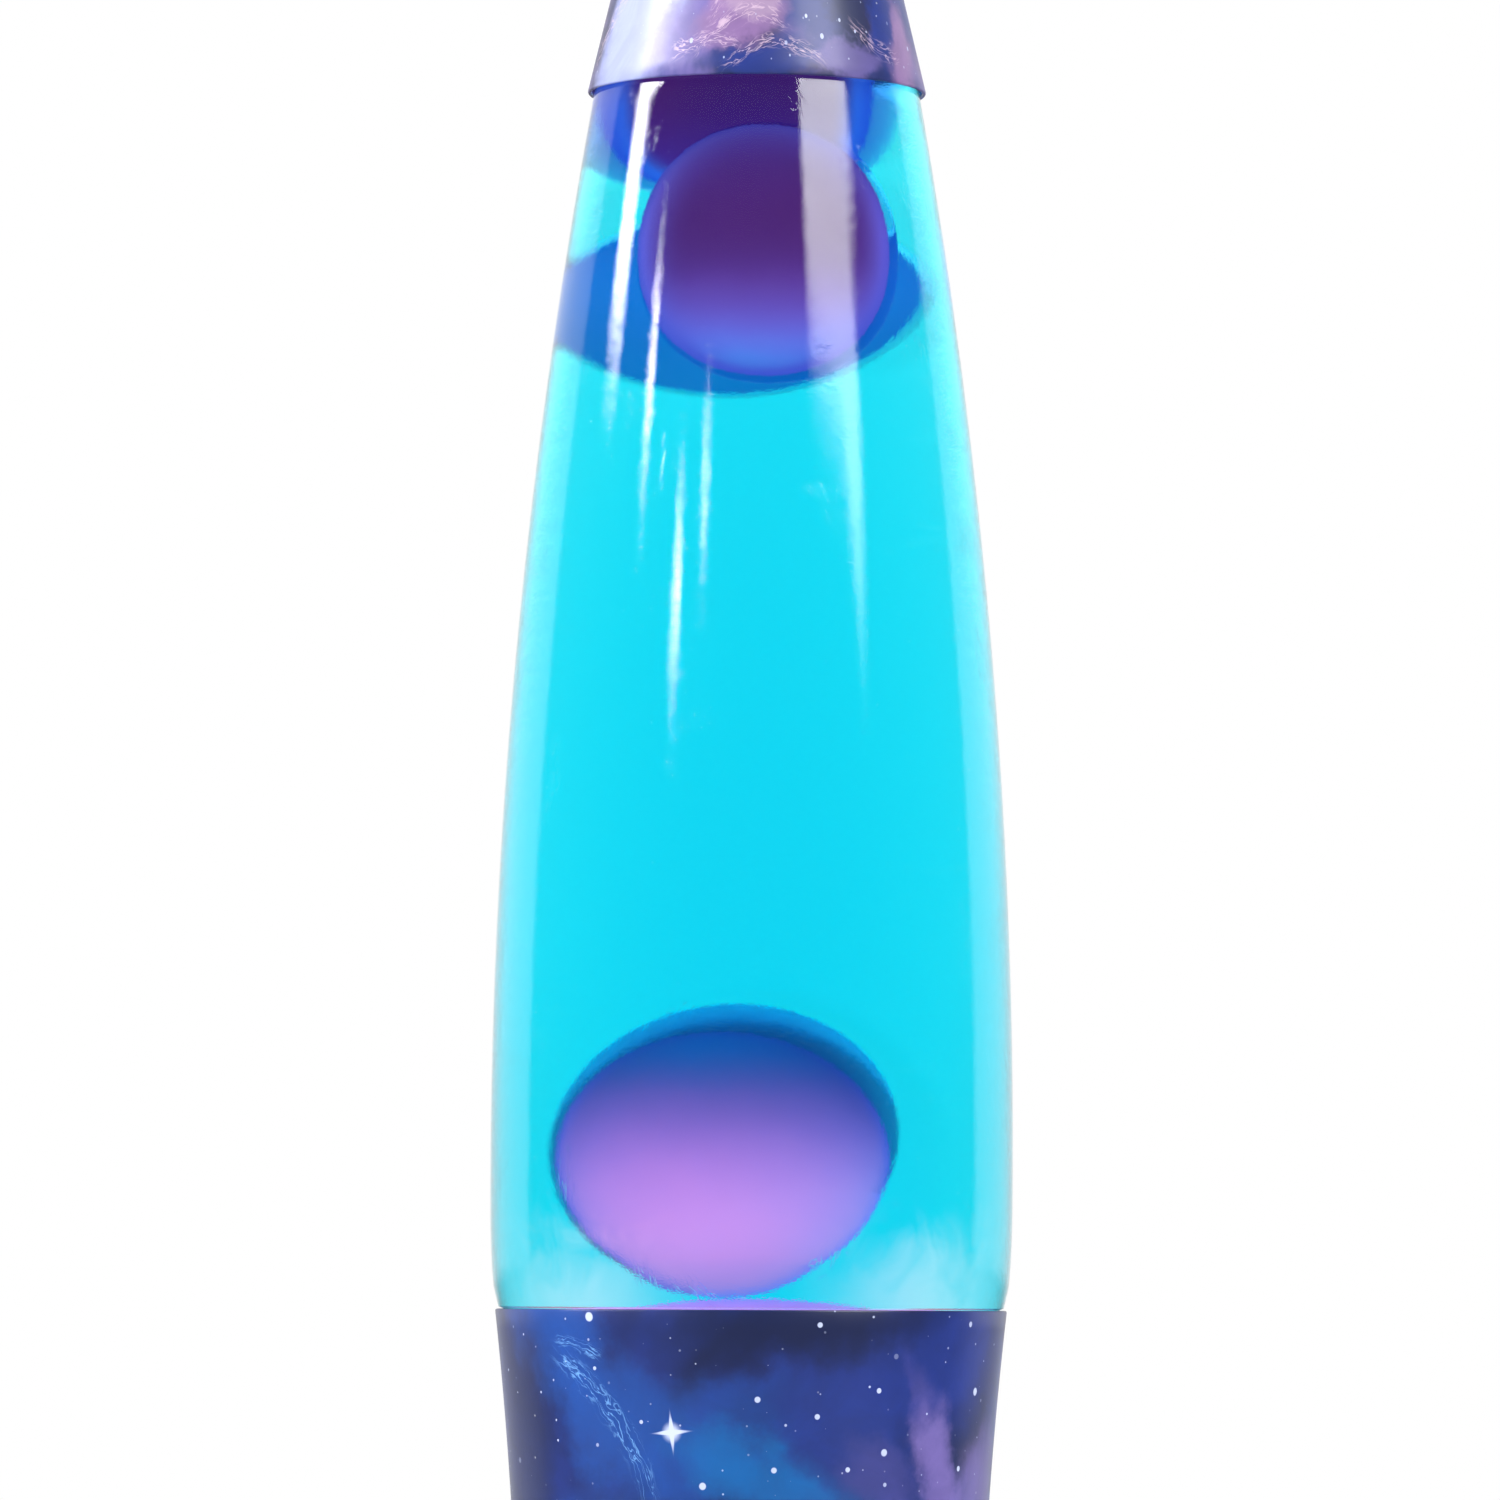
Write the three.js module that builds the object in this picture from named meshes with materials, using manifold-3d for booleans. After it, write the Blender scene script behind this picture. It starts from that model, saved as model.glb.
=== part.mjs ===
// A lava lamp: a waisted metal base that holds a bulb, a glass bottle of liquid
// and wax standing in it, and a conical metal cap over the bottle's neck.
// Millimetres, +Z up. The origin is on the lamp's axis, at the underside of the feet.
// The rear of the lamp, where the cable outlet is, faces +Y.

import * as THREE from 'three';
import { mergeVertices } from 'three/addons/utils/BufferGeometryUtils.js';
import Module from 'manifold-3d';

const wasm = await Module();
wasm.setup();

// ---- driving dimensions ----

const gap = 0.3;                 // left between pieces that touch
const roundSides = 32;           // facets of the large turned pieces
const smallSides = 20;           // facets of the small turned pieces

const footHeight = 2.7;          // rubber feet under the bottom plate
const hemZ = 2;                  // lower edge of the base shell
const rimZ = 142;                // upper edge of the base shell
const rimRadius = 37.2;
const waistRadius = 33.35;
const waistZ = 74;
const footRadius = 44;
const shellWall = 0.7;

const bottleRadius = 38;         // widest place of the bottle
const bulgeHeight = 22;          // that place, above the base rim
const ledgeRadius = 37.05;       // where the bottle meets the base rim
const shoulderRadius = 23.8;     // where the bottle goes under the cap
const shoulderHeight = 177.5;
const glassWall = 2.6;
const bottleDepth = 28;          // part of the bottle inside the base
const heelRadius = 32.4;
const neckRadius = 13;
const neckHeight = 194;
const mouthHeight = 205;
const beadRadius = 14.1;

const capRimRadius = 24.8;
const capHeight = 48.5;
const capSlope = 0.24;           // radius lost for each unit of height
const capWall = 0.6;

const lampSocketZ = 21.5;        // underside of the lamp socket's flange
const bulbZ = 31.6;              // tip of the bulb's centre contact
const bulbRadius = 19.5;
const bulbTopZ = 97;

// ---- finishes ----

const finish = (color, roughness, metalness = 0, opacity = 1) =>
  new THREE.MeshStandardMaterial({ color, roughness, metalness, opacity, transparent: opacity < 1 });

const finishes = {
  printedMetal: finish(0x2b3f8a, 0.35, 0.3),
  bottleGlass: finish(0xdff6ff, 0.03, 0, 0.3),
  liquid: finish(0x00dcf5, 0.05, 0, 0.5),
  wax: finish(0x8450c8, 0.45),
  plainSteel: finish(0xb9bcc0, 0.35, 1),
  brass: finish(0xc9a254, 0.3, 1),
  blackPlastic: finish(0x16171a, 0.5),
  rubber: finish(0x1c1c1e, 0.85),
  ceramic: finish(0xe9e6dc, 0.4),
  bulbGlass: finish(0xf3f4f0, 0.08, 0, 0.4),
  tungsten: finish(0x8c8a86, 0.4, 1),
  liner: finish(0xd8d4c8, 0.6),
};

// ---- shape helpers ----

// A solid of revolution about +Z from [radius, z] points. The outline either starts and
// ends on the axis or is closed on itself here.
function turned(outline, sides = roundSides) {
  const onAxis = outline[0][0] === 0 && outline.at(-1)[0] === 0;
  const points = (onAxis ? outline : [...outline, outline[0]]).map(([r, z]) => new THREE.Vector2(r, z));
  return facingOut(new THREE.LatheGeometry(points, sides).rotateX(Math.PI / 2));
}

// The same geometry without normals and uvs, with shared vertices merged, faces pointing out.
function facingOut(geometry) {
  for (const name of ['normal', 'uv']) geometry.deleteAttribute(name);
  const merged = mergeVertices(geometry, 1e-4);
  const place = merged.attributes.position;
  const kept = [];
  const corner = [new THREE.Vector3(), new THREE.Vector3(), new THREE.Vector3()];
  let volume = 0;
  for (let i = 0; i < merged.index.count; i += 3) {
    const ids = [0, 1, 2].map((k) => merged.index.getX(i + k));
    if (new Set(ids).size < 3) continue;
    ids.forEach((id, k) => corner[k].fromBufferAttribute(place, id));
    volume += corner[0].dot(corner[1].clone().cross(corner[2]));
    kept.push(ids);
  }
  if (volume < 0) kept.forEach((ids) => ids.reverse());
  merged.setIndex(kept.flat());
  return merged;
}

function solid(geometry) {
  const mesh = new wasm.Mesh({
    numProp: 3,
    vertProperties: Float32Array.from(geometry.attributes.position.array),
    triVerts: Uint32Array.from(geometry.index.array),
  });
  return new wasm.Manifold(mesh);
}

function geometryOf(body) {
  const { vertProperties, triVerts } = body.getMesh();
  const geometry = new THREE.BufferGeometry();
  geometry.setAttribute('position', new THREE.BufferAttribute(vertProperties, 3));
  geometry.setIndex(new THREE.BufferAttribute(triVerts, 1));
  return geometry;
}

const rod = (radius, length, sides = 16) =>
  facingOut(new THREE.CylinderGeometry(radius, radius, length, sides).rotateX(Math.PI / 2));

function extruded(outline, depth) {
  const shape = new THREE.Shape(outline.map(([x, y]) => new THREE.Vector2(x, y)));
  const options = { depth, bevelEnabled: false };
  return facingOut(new THREE.ExtrudeGeometry(shape, options).translate(0, 0, -depth / 2));
}

const steps = (count) => Array.from({ length: count + 1 }, (_, i) => i / count);
const between = (a, b, t) => a + (b - a) * t;

// Points of a curve that starts at a, bends towards b and ends at c.
const bend = (a, b, c, count) =>
  new THREE.QuadraticBezierCurve(...[a, b, c].map((p) => new THREE.Vector2(...p)))
    .getPoints(count).map((p) => [p.x, p.y]);

function piece(group, name, geometry, material) {
  const mesh = new THREE.Mesh(geometry, material);
  mesh.name = name;
  group.add(mesh);
  return mesh;
}

// ---- base: shell, plate, feet, bottle seat and cable outlet ----

// Outer radius of the base shell: two half parabolas that meet at the waist.
function shellRadius(z) {
  const [end, radius] = z > waistZ ? [rimZ, rimRadius] : [hemZ, footRadius];
  return between(waistRadius, radius, ((z - waistZ) / (end - waistZ)) ** 2);
}

const shellLevels = [
  ...steps(5).map((t) => between(hemZ, waistZ, t)),
  ...steps(3).slice(1).map((t) => between(waistZ, rimZ, t)),
];

// The space inside the shell's outer face moved out by offset.
const shellBody = (offset) => solid(turned([
  [0, hemZ], ...shellLevels.map((z) => [shellRadius(z) + offset, z]), [0, rimZ],
]));

const outletZ = 12;
const outletRadius = 3.4;
const outletBarrelRadius = 4.6;
const outletFlangeRadius = 6;

const alongY = (radius, from, to, z, sides = 16) =>
  solid(facingOut(new THREE.CylinderGeometry(radius, radius, to - from, sides).translate(0, (from + to) / 2, z)));

function makeBaseShell() {
  const hemLip = 2.4;            // the lower edge is turned in under the bottom plate
  const outer = shellLevels.map((z) => [shellRadius(z), z]);
  const inner = shellLevels.map((z) => [shellRadius(z) - shellWall, z]).reverse();
  inner.splice(-1, 1, [footRadius - shellWall, hemZ + shellWall], [footRadius - hemLip, hemZ + shellWall]);
  const shell = solid(turned([[footRadius - hemLip, hemZ], ...outer, ...inner]));
  return geometryOf(shell.subtract(alongY(outletBarrelRadius + gap, 30, 50, outletZ)));
}

function makeGrommet() {
  const flange = 1.5;
  const reach = [37.4, footRadius - 0.1];
  const blank = alongY(outletFlangeRadius, ...reach, outletZ).intersect(shellBody(gap + flange))
    .subtract(shellBody(-shellWall - gap - flange));
  const wall = shellBody(gap).subtract(shellBody(-shellWall - gap))
    .subtract(alongY(outletBarrelRadius, 30, 50, outletZ));
  return geometryOf(blank.subtract(wall).subtract(alongY(outletRadius, 30, 50, outletZ)));
}

const plateZ = hemZ + shellWall + gap;
const plateThickness = 1.2;
const plateTop = plateZ + plateThickness;
const bracketFootX = 24;

function makeBottomPlate() {
  const radius = footRadius - shellWall - 0.8;
  let plate = solid(turned([[0, plateZ], [radius, plateZ], [radius, plateTop], [0, plateTop]]));
  const vent = { count: 6, circle: 13, radius: 3 };
  for (let i = 0; i < vent.count; i += 1) {
    const turn = (i / vent.count) * 2 * Math.PI;
    const at = [vent.circle * Math.cos(turn), vent.circle * Math.sin(turn), plateZ];
    plate = plate.subtract(solid(rod(vent.radius, 6).translate(...at)));
  }
  for (const side of [-1, 1]) {
    plate = plate.subtract(solid(rod(screw.shankRadius + gap, 6).translate(side * bracketFootX, 0, plateZ)));
  }
  return geometryOf(plate);
}

const screw = { shankRadius: 1.5, headRadius: 2.9, headHeight: 1.4 };

// A pan-head screw that comes up through the plate and the bracket's foot.
const makeScrew = () => turned([
  [0, -gap - screw.headHeight], [screw.headRadius * 0.8, -gap - screw.headHeight],
  [screw.headRadius, -gap - screw.headHeight * 0.4], [screw.headRadius, -gap],
  [screw.shankRadius, -gap], [screw.shankRadius, 6], [0, 6],
], 16);

const seatZ = rimZ - bottleDepth - gap;
const seatBore = 21;

function makeBottleSeat() {
  const sheet = 1.2;
  const flangeDepth = 7;
  const top = shellRadius(seatZ) - shellWall - 0.35;
  const foot = shellRadius(seatZ - flangeDepth) - shellWall - 0.35;
  return turned([
    [seatBore, seatZ - sheet], [foot - sheet, seatZ - sheet], [foot - sheet, seatZ - flangeDepth],
    [foot, seatZ - flangeDepth], [foot, seatZ - sheet * 1.5], [foot - 0.5, seatZ - sheet * 0.4],
    [foot - 1.2, seatZ], [seatBore, seatZ],
  ]);
}

function makeBase() {
  const group = new THREE.Group();
  piece(group, 'base_shell', makeBaseShell(), finishes.printedMetal);
  piece(group, 'cord_grommet', makeGrommet(), finishes.blackPlastic);
  piece(group, 'bottom_plate', makeBottomPlate(), finishes.plainSteel);
  piece(group, 'bottle_seat', makeBottleSeat(), finishes.plainSteel);
  const foot = { count: 4, radius: 5, circle: 33.5 };
  for (let i = 0; i < foot.count; i += 1) {
    const turn = ((i + 0.5) / foot.count) * 2 * Math.PI;
    const pad = turned([
      [0, 0], [foot.radius - 0.5, 0], [foot.radius, 0.5], [foot.radius, footHeight], [0, footHeight],
    ], 20);
    const mesh = piece(group, `rubber_foot_${i + 1}`, pad, finishes.rubber);
    mesh.position.set(foot.circle * Math.cos(turn), foot.circle * Math.sin(turn), 0);
  }
  return group;
}

// ---- lamp holder: bracket, socket, its nut, sleeve and contact spring ----

const strap = { thickness: 1.2, width: 16, legX: 17, footEnd: 28 };
const nippleRadius = 4.9;

// A flat steel strap bent into a top hat that carries the lamp socket.
function makeBracket() {
  const bottom = plateTop + gap;
  const top = lampSocketZ - gap;
  const t = strap.thickness;
  const right = [
    [strap.footEnd, bottom], [strap.footEnd, bottom + t], [strap.legX + t, bottom + t],
    [strap.legX + t, top - 1], [strap.legX + t - 1, top],
  ];
  const inside = [[strap.legX - 0.5, top - t], [strap.legX, top - t - 0.5], [strap.legX, bottom]];
  const mirrored = (points) => points.map(([x, z]) => [-x, z]).reverse();
  const outline = [...right, ...mirrored(right), ...mirrored(inside), ...inside];
  const bent = facingOut(extruded(outline, strap.width).rotateX(Math.PI / 2));
  let body = solid(bent).subtract(solid(rod(nippleRadius + gap, 10, smallSides).translate(0, 0, top)));
  for (const side of [-1, 1]) {
    body = body.subtract(solid(rod(screw.shankRadius + gap, 6).translate(side * bracketFootX, 0, bottom)));
  }
  return geometryOf(body);
}

const socket = { radius: 13, cavityRadius: 8.2, floorZ: 27.5, topZ: 49, nippleZ: 14.5, wireBore: 2.6 };

const makeLampSocket = () => turned([
  [socket.wireBore, socket.nippleZ], [nippleRadius, socket.nippleZ], [nippleRadius, lampSocketZ],
  [socket.radius, lampSocketZ], [socket.radius, lampSocketZ + 7], [socket.radius - 1.2, lampSocketZ + 8],
  [socket.radius - 1.2, socket.topZ - 3], [socket.radius - 2, socket.topZ], [socket.cavityRadius, socket.topZ],
  [socket.cavityRadius, socket.floorZ], [socket.wireBore, socket.floorZ],
], smallSides);

function makeSocketNut() {
  const height = 3;
  const blank = solid(facingOut(new THREE.CylinderGeometry(8, 8, height, 6).rotateX(Math.PI / 2)));
  return geometryOf(blank.subtract(solid(rod(nippleRadius + gap, height + 2, smallSides))));
}

const sleeve = { inner: 7.35, outer: 7.85, bottomZ: 34, topZ: 47.5 };

const makeSocketSleeve = () => turned([
  [sleeve.inner, sleeve.bottomZ], [sleeve.outer, sleeve.bottomZ],
  [sleeve.outer, sleeve.topZ], [sleeve.inner, sleeve.topZ],
], smallSides);

// A spring tongue on the socket's floor that rises to the bulb's centre contact.
function makeContactSpring() {
  const floor = socket.floorZ + gap;
  const tip = bulbZ - gap;
  const t = 0.5;
  const outline = [
    [7, floor], [7, floor + t], [4, floor + t], [1.5, tip], [-2.2, tip], [-2.2, tip - t], [1.2, tip - t],
    [3.7, floor],
  ];
  return facingOut(extruded(outline, 3.4).rotateX(Math.PI / 2));
}

function makeLampHolder() {
  const group = new THREE.Group();
  piece(group, 'socket_bracket', makeBracket(), finishes.plainSteel);
  for (const side of [-1, 1]) {
    const mesh = piece(group, side < 0 ? 'bracket_screw_1' : 'bracket_screw_2', makeScrew(), finishes.plainSteel);
    mesh.position.set(side * bracketFootX, 0, plateZ);
  }
  piece(group, 'lamp_socket', makeLampSocket(), finishes.ceramic);
  piece(group, 'socket_nut', makeSocketNut(), finishes.plainSteel).position.z = 18.2;
  piece(group, 'socket_sleeve', makeSocketSleeve(), finishes.brass);
  piece(group, 'socket_contact', makeContactSpring(), finishes.brass);
  return group;
}

// ---- bulb: a small screw-in reflector bulb ----

const bulbNeckRadius = 6.1;
const bulbCapRadius = 6.9;
const bulbWall = 0.8;

// Outer outline of the bulb's envelope from its neck to the middle of its crown.
function bulbOutline(inset) {
  const neckZ = 43;
  const bellyZ = 86;
  const side = bend([bulbNeckRadius, 54], [8.2, 66], [17.6, 77], 4);
  const shoulder = bend([bulbRadius, bellyZ], [bulbRadius - 0.6, 93], [11, 95.8], 3);
  const points = [[bulbNeckRadius, neckZ], ...side, ...shoulder, [0, bulbTopZ]];
  return points.map(([r, z], i) => [Math.max(r - inset, 0), i === points.length - 1 ? z - inset : z]);
}

const makeBulbGlass = () => turned([...bulbOutline(0), ...bulbOutline(bulbWall).reverse()], smallSides);

const makeBulbCap = () => turned([
  [5.4, 36.4], [6.4, 36.2], [bulbCapRadius, 38], [bulbCapRadius, 50], [bulbNeckRadius + gap + 0.5, 51.5],
  [bulbNeckRadius + gap + 0.5, 53.5], [bulbNeckRadius + gap, 53.5], [bulbNeckRadius + gap, 37.4], [5.4, 37.2],
], smallSides);

const makeBulbInsulator = () => turned([
  [0, 33.2], [2.9, 33.2], [5, 36], [5, 38.4], [0, 38.4],
], smallSides);

const makeBulbContact = () => turned([[0, bulbZ], [1.6, bulbZ], [2.6, 32.3], [2.6, 32.9], [0, 32.9]], smallSides);

const makeFilamentStem = () => turned([
  [0, 44.5], [4.6, 44.5], [4.4, 46], [2.1, 49], [1.7, 60], [2.4, 62], [1.6, 63.5], [0, 63.5],
], 16);

// A wire that rises from the stem, runs round in an arc and comes back to the stem.
function makeFilament() {
  const arc = { radius: 6, z: 74 };
  const points = steps(10).map((t) => {
    const turn = Math.PI * (1 - t);
    return new THREE.Vector3(arc.radius * Math.cos(turn), 0, arc.z + arc.radius * Math.sin(turn) * 0.6);
  });
  const start = new THREE.Vector3(-1.1, 0, 63.5 + gap);
  const path = new THREE.CatmullRomCurve3([
    start, new THREE.Vector3(-2.4, 0, 67), ...points, new THREE.Vector3(2.4, 0, 67), start.clone().setX(1.1),
  ]);
  const section = new THREE.Shape().absarc(0, 0, 0.35, 0, 2 * Math.PI);
  const options = { extrudePath: path, steps: 20, curveSegments: 3, bevelEnabled: false };
  return facingOut(new THREE.ExtrudeGeometry(section, options));
}

function makeBulb() {
  const group = new THREE.Group();
  piece(group, 'bulb_glass', makeBulbGlass(), finishes.bulbGlass);
  piece(group, 'bulb_screw_cap', makeBulbCap(), finishes.brass);
  piece(group, 'bulb_insulator', makeBulbInsulator(), finishes.blackPlastic);
  piece(group, 'bulb_contact', makeBulbContact(), finishes.brass);
  piece(group, 'filament_stem', makeFilamentStem(), finishes.bulbGlass);
  piece(group, 'filament', makeFilament(), finishes.tungsten);
  return group;
}

// ---- bottle: heights here are above the base rim ----

// Outer radius of the part of the bottle that shows between the base and the cap.
function bottleRadiusAt(height) {
  if (height > bulgeHeight) {
    const rise = (height - bulgeHeight) / (shoulderHeight - bulgeHeight);
    return between(bottleRadius, shoulderRadius, rise ** 1.96);
  }
  return between(bottleRadius, ledgeRadius, ((bulgeHeight - height) / bulgeHeight) ** 3.5);
}

const showingLevels = [...steps(2).map((t) => between(0.35, bulgeHeight, t)),
  ...steps(7).slice(1).map((t) => between(bulgeHeight, shoulderHeight, t))];
const showingOutline = (inset) => showingLevels.map((h) => [bottleRadiusAt(h) - inset, h]);

// Inner face of the glass, moved in by inset, from the edge of its floor to its shoulder.
const floorHeight = glassWall + 1.4 - bottleDepth;
const innerOutline = (inset) => [
  ...bend([27 - inset, floorHeight + inset], [30 - inset, floorHeight + inset], [30.4 - inset, floorHeight + 6], 2),
  [ledgeRadius - glassWall - 1.2 - inset, -1],
  ...showingOutline(glassWall + inset).slice(1),
];

function makeBottle() {
  const outside = [
    [0, 2 - bottleDepth], [18, 1.6 - bottleDepth], [22, -bottleDepth],
    ...bend([27, -bottleDepth], [heelRadius, -bottleDepth], [heelRadius + 0.3, 7 - bottleDepth], 2),
    [ledgeRadius - 0.95, -1.2], [ledgeRadius - 0.85, 0.3],
    ...showingOutline(0),
    ...bend([23.3, 178.8], [22.2, 186], [neckRadius, neckHeight], 3),
    [neckRadius, 200], [beadRadius, 201.2], [beadRadius, 204], [beadRadius - 0.8, mouthHeight],
  ];
  const inside = [
    [10.6, mouthHeight], [10.2, 203],
    ...bend([10.2, neckHeight - 2], [19.2, 184], [20.9, 178.6], 3),
    ...innerOutline(0).reverse(),
    [0, floorHeight],
  ];
  return turned([...outside, ...inside]);
}

// The crimped metal closure over the bottle's mouth, and the disc that seals it.
const makeCrown = () => turned([
  [0, 206], [14.5, 206], [14.5, 201], [15.2, 199.6], [15.9, 199.4], [15.1, 202],
  [15.1, 205.6], [14, 206.6], [0, 206.6],
], smallSides);

const makeCrownLiner = () => turned([[0, 205.3], [12.8, 205.3], [12.8, 205.7], [0, 205.7]], smallSides);

const channelRadius = 24.6;      // the way that the wax blobs rise and sink along
const poolTop = 1.6;
const coil = { radius: 20, thickness: 1.9 };

// The liquid, kept clear of the channel that the wax moves through.
function makeLiquid() {
  const sleeveWall = 1;
  const bottom = -0.5;
  const outer = innerOutline(gap).slice(3);
  const wet = [[outer[0][0], bottom], ...outer.slice(1), [19.9, 180.5]];
  const dry = wet.slice(1).map(([r, h]) => [Math.min(channelRadius, r - sleeveWall), h]).reverse();
  return turned([...wet, ...dry, [channelRadius, bottom]]);
}

// Molten wax that lies on the bottle's floor round the coil, with a low dome on top.
function makeWaxPool() {
  const wall = innerOutline(gap).slice(0, 3);
  const groove = { inner: coil.radius - coil.thickness - gap, outer: coil.radius + coil.thickness + gap };
  const grooveTop = floorHeight + 2 * coil.thickness + 3 * gap;
  return turned([
    [0, floorHeight + gap], [groove.inner, floorHeight + gap], [groove.inner, grooveTop],
    [groove.outer, grooveTop], [groove.outer, floorHeight + gap], ...wall,
    [32.2, -5], [29, -2.2], [18, 0.9], [9, poolTop - 0.1], [0, poolTop],
  ], roundSides);
}

// The steel coil that spreads the heat, as the plain ring that its turns fill.
const makeHeatCoil = () => turned(
  steps(8).slice(0, -1).map((t) => [
    coil.radius + coil.thickness * Math.cos(t * 2 * Math.PI),
    floorHeight + gap + coil.thickness * (1 + Math.sin(t * 2 * Math.PI)),
  ]), smallSides);

// Wax bodies in the bottle's frame: centre, half sizes and lean about Y in degrees.
// crown is the height of the upper half where it is lower than the other one.
const blobs = {
  wax_top: { centre: [-2.2, 6.5, 176.5], half: [15.5, 10.5, 15.5], lean: 0, crown: 9 },
  wax_blob_front: { centre: [1.6, -10.4, 152], half: [16.4, 12.4, 19.1], lean: 0 },
  wax_blob_rear: { centre: [-1.5, 12.4, 146], half: [17.2, 9.6, 14.2], lean: -12 },
  wax_blob_low: { centre: [-3.1, 0, 23.4], half: [18.5, 19, 21.1], lean: 30.5 },
};

function makeBlob({ half, lean, crown = half[2] }) {
  const ball = new THREE.SphereGeometry(1, 16, 10).rotateX(Math.PI / 2).scale(...half);
  const place = ball.attributes.position;
  for (let i = 0; i < place.count; i += 1) {
    const z = place.getZ(i);
    if (z > 0) place.setZ(i, (z * crown) / half[2]);
  }
  return facingOut(ball.rotateY(THREE.MathUtils.degToRad(lean)));
}

function makeBottleGroup() {
  const group = new THREE.Group();
  group.position.z = rimZ;
  piece(group, 'bottle', makeBottle(), finishes.bottleGlass);
  piece(group, 'crown_cap', makeCrown(), finishes.plainSteel);
  piece(group, 'crown_liner', makeCrownLiner(), finishes.liner);
  piece(group, 'liquid', makeLiquid(), finishes.liquid);
  piece(group, 'heat_coil', makeHeatCoil(), finishes.plainSteel);
  piece(group, 'wax_pool', makeWaxPool(), finishes.wax);
  for (const [name, blob] of Object.entries(blobs)) {
    piece(group, name, makeBlob(blob), finishes.wax).position.set(...blob.centre);
  }
  return group;
}

// ---- cap: a spun metal cone with a flat top and a turned-in hem ----

function makeCap() {
  const topRadius = capRimRadius - capSlope * capHeight;
  const side = (h, inset) => [capRimRadius - capSlope * h - inset, h];
  const corner = bend(side(capHeight - 1.6, 0), side(capHeight, 0), [topRadius - 2, capHeight], 3);
  return turned([
    side(0, capWall), side(0, 0.1), side(0.3, 0), side(capHeight / 2, 0), ...corner, [0, capHeight],
    [0, capHeight - capWall], [topRadius - 2, capHeight - capWall], side(capHeight - 1.8, capWall),
    side(capHeight / 2, capWall),
  ]);
}

// ---- the whole lamp ----

const lamp = new THREE.Group();
lamp.add(makeBase(), makeLampHolder(), makeBulb(), makeBottleGroup());
piece(lamp, 'cap', makeCap(), finishes.printedMetal).position.z = rimZ + shoulderHeight;

export default lamp;
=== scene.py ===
import math
import bmesh
import bpy
from mathutils import Matrix, Vector


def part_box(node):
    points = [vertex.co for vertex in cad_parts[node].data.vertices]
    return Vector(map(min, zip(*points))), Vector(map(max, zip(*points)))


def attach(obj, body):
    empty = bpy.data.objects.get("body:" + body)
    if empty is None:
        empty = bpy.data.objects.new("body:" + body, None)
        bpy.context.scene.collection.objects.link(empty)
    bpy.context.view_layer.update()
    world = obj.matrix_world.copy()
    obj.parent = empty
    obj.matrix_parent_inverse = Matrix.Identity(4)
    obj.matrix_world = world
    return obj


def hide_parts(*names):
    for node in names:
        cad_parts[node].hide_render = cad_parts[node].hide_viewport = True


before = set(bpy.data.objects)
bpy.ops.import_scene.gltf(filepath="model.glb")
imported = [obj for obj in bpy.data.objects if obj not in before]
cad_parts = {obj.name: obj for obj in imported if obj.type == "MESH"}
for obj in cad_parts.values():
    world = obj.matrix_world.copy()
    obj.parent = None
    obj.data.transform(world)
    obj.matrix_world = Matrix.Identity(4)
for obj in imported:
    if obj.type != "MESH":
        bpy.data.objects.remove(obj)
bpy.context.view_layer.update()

scene = bpy.context.scene
scene.view_settings.view_transform = "Standard"

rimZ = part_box("base_shell")[1][2]            # upper edge of the base, where the bottle starts to show
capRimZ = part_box("cap")[0][2]                # lower edge of the cap
print("frame loaded")


def blend(a, b, t):
    return a + (b - a) * t


def even(count):
    return [i / count for i in range(count + 1)]


def bend(a, b, c, count):                    # points from a to c on a curve that leans towards b
    places = []
    for t in even(count):
        places.append(tuple((1 - t) ** 2 * a[k] + 2 * t * (1 - t) * b[k] + t * t * c[k] for k in (0, 1)))
    return places


def spun(outline, steps=128, closed=False):  # turned about the lamp's axis, from (radius, height) points
    shape = bmesh.new()
    corners = [shape.verts.new((r, 0, z)) for r, z in outline]
    edges = [shape.edges.new(pair) for pair in zip(corners, corners[1:])]
    if closed:
        edges.append(shape.edges.new((corners[-1], corners[0])))
    bmesh.ops.spin(shape, geom=corners + edges, axis=(0, 0, 1), cent=(0, 0, 0), dvec=(0, 0, 0),
                   angle=2 * math.pi, steps=steps, use_merge=True)
    bmesh.ops.remove_doubles(shape, verts=shape.verts, dist=1e-6)
    bmesh.ops.recalc_face_normals(shape, faces=shape.faces)
    return shape


def makePiece(name, shape, body, materials, replaced=(), sharp=40):
    mesh = bpy.data.meshes.new(name)
    shape.to_mesh(mesh)
    shape.free()
    for material in materials:
        mesh.materials.append(material)
    mesh.shade_smooth()
    mesh.set_sharp_from_angle(angle=math.radians(sharp))
    piece = bpy.data.objects.new(name, mesh)
    scene.collection.objects.link(piece)
    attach(piece, body)
    if replaced:
        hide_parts(*replaced)
    return piece


def addNode(tree, kind, inputs=None, **settings):
    made = tree.nodes.new(kind)
    for name, value in settings.items():
        setattr(made, name, value)
    for name, value in (inputs or {}).items():
        if isinstance(value, bpy.types.NodeSocket):
            tree.links.new(value, made.inputs[name])
        else:
            made.inputs[name].default_value = value
    return made


def calc(tree, operation, a, b=0.0, c=0.0):
    return addNode(tree, "ShaderNodeMath", {0: a, 1: b, 2: c}, operation=operation).outputs[0]


def times(tree, a, b):
    return calc(tree, "MULTIPLY", a, b)


def minus(tree, a, b):
    return calc(tree, "SUBTRACT", a, b)


def sloped(tree, value, start, slope, base):  # a straight line that is at base where value is at start
    return calc(tree, "MULTIPLY_ADD", minus(tree, value, start), slope, base)


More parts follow.
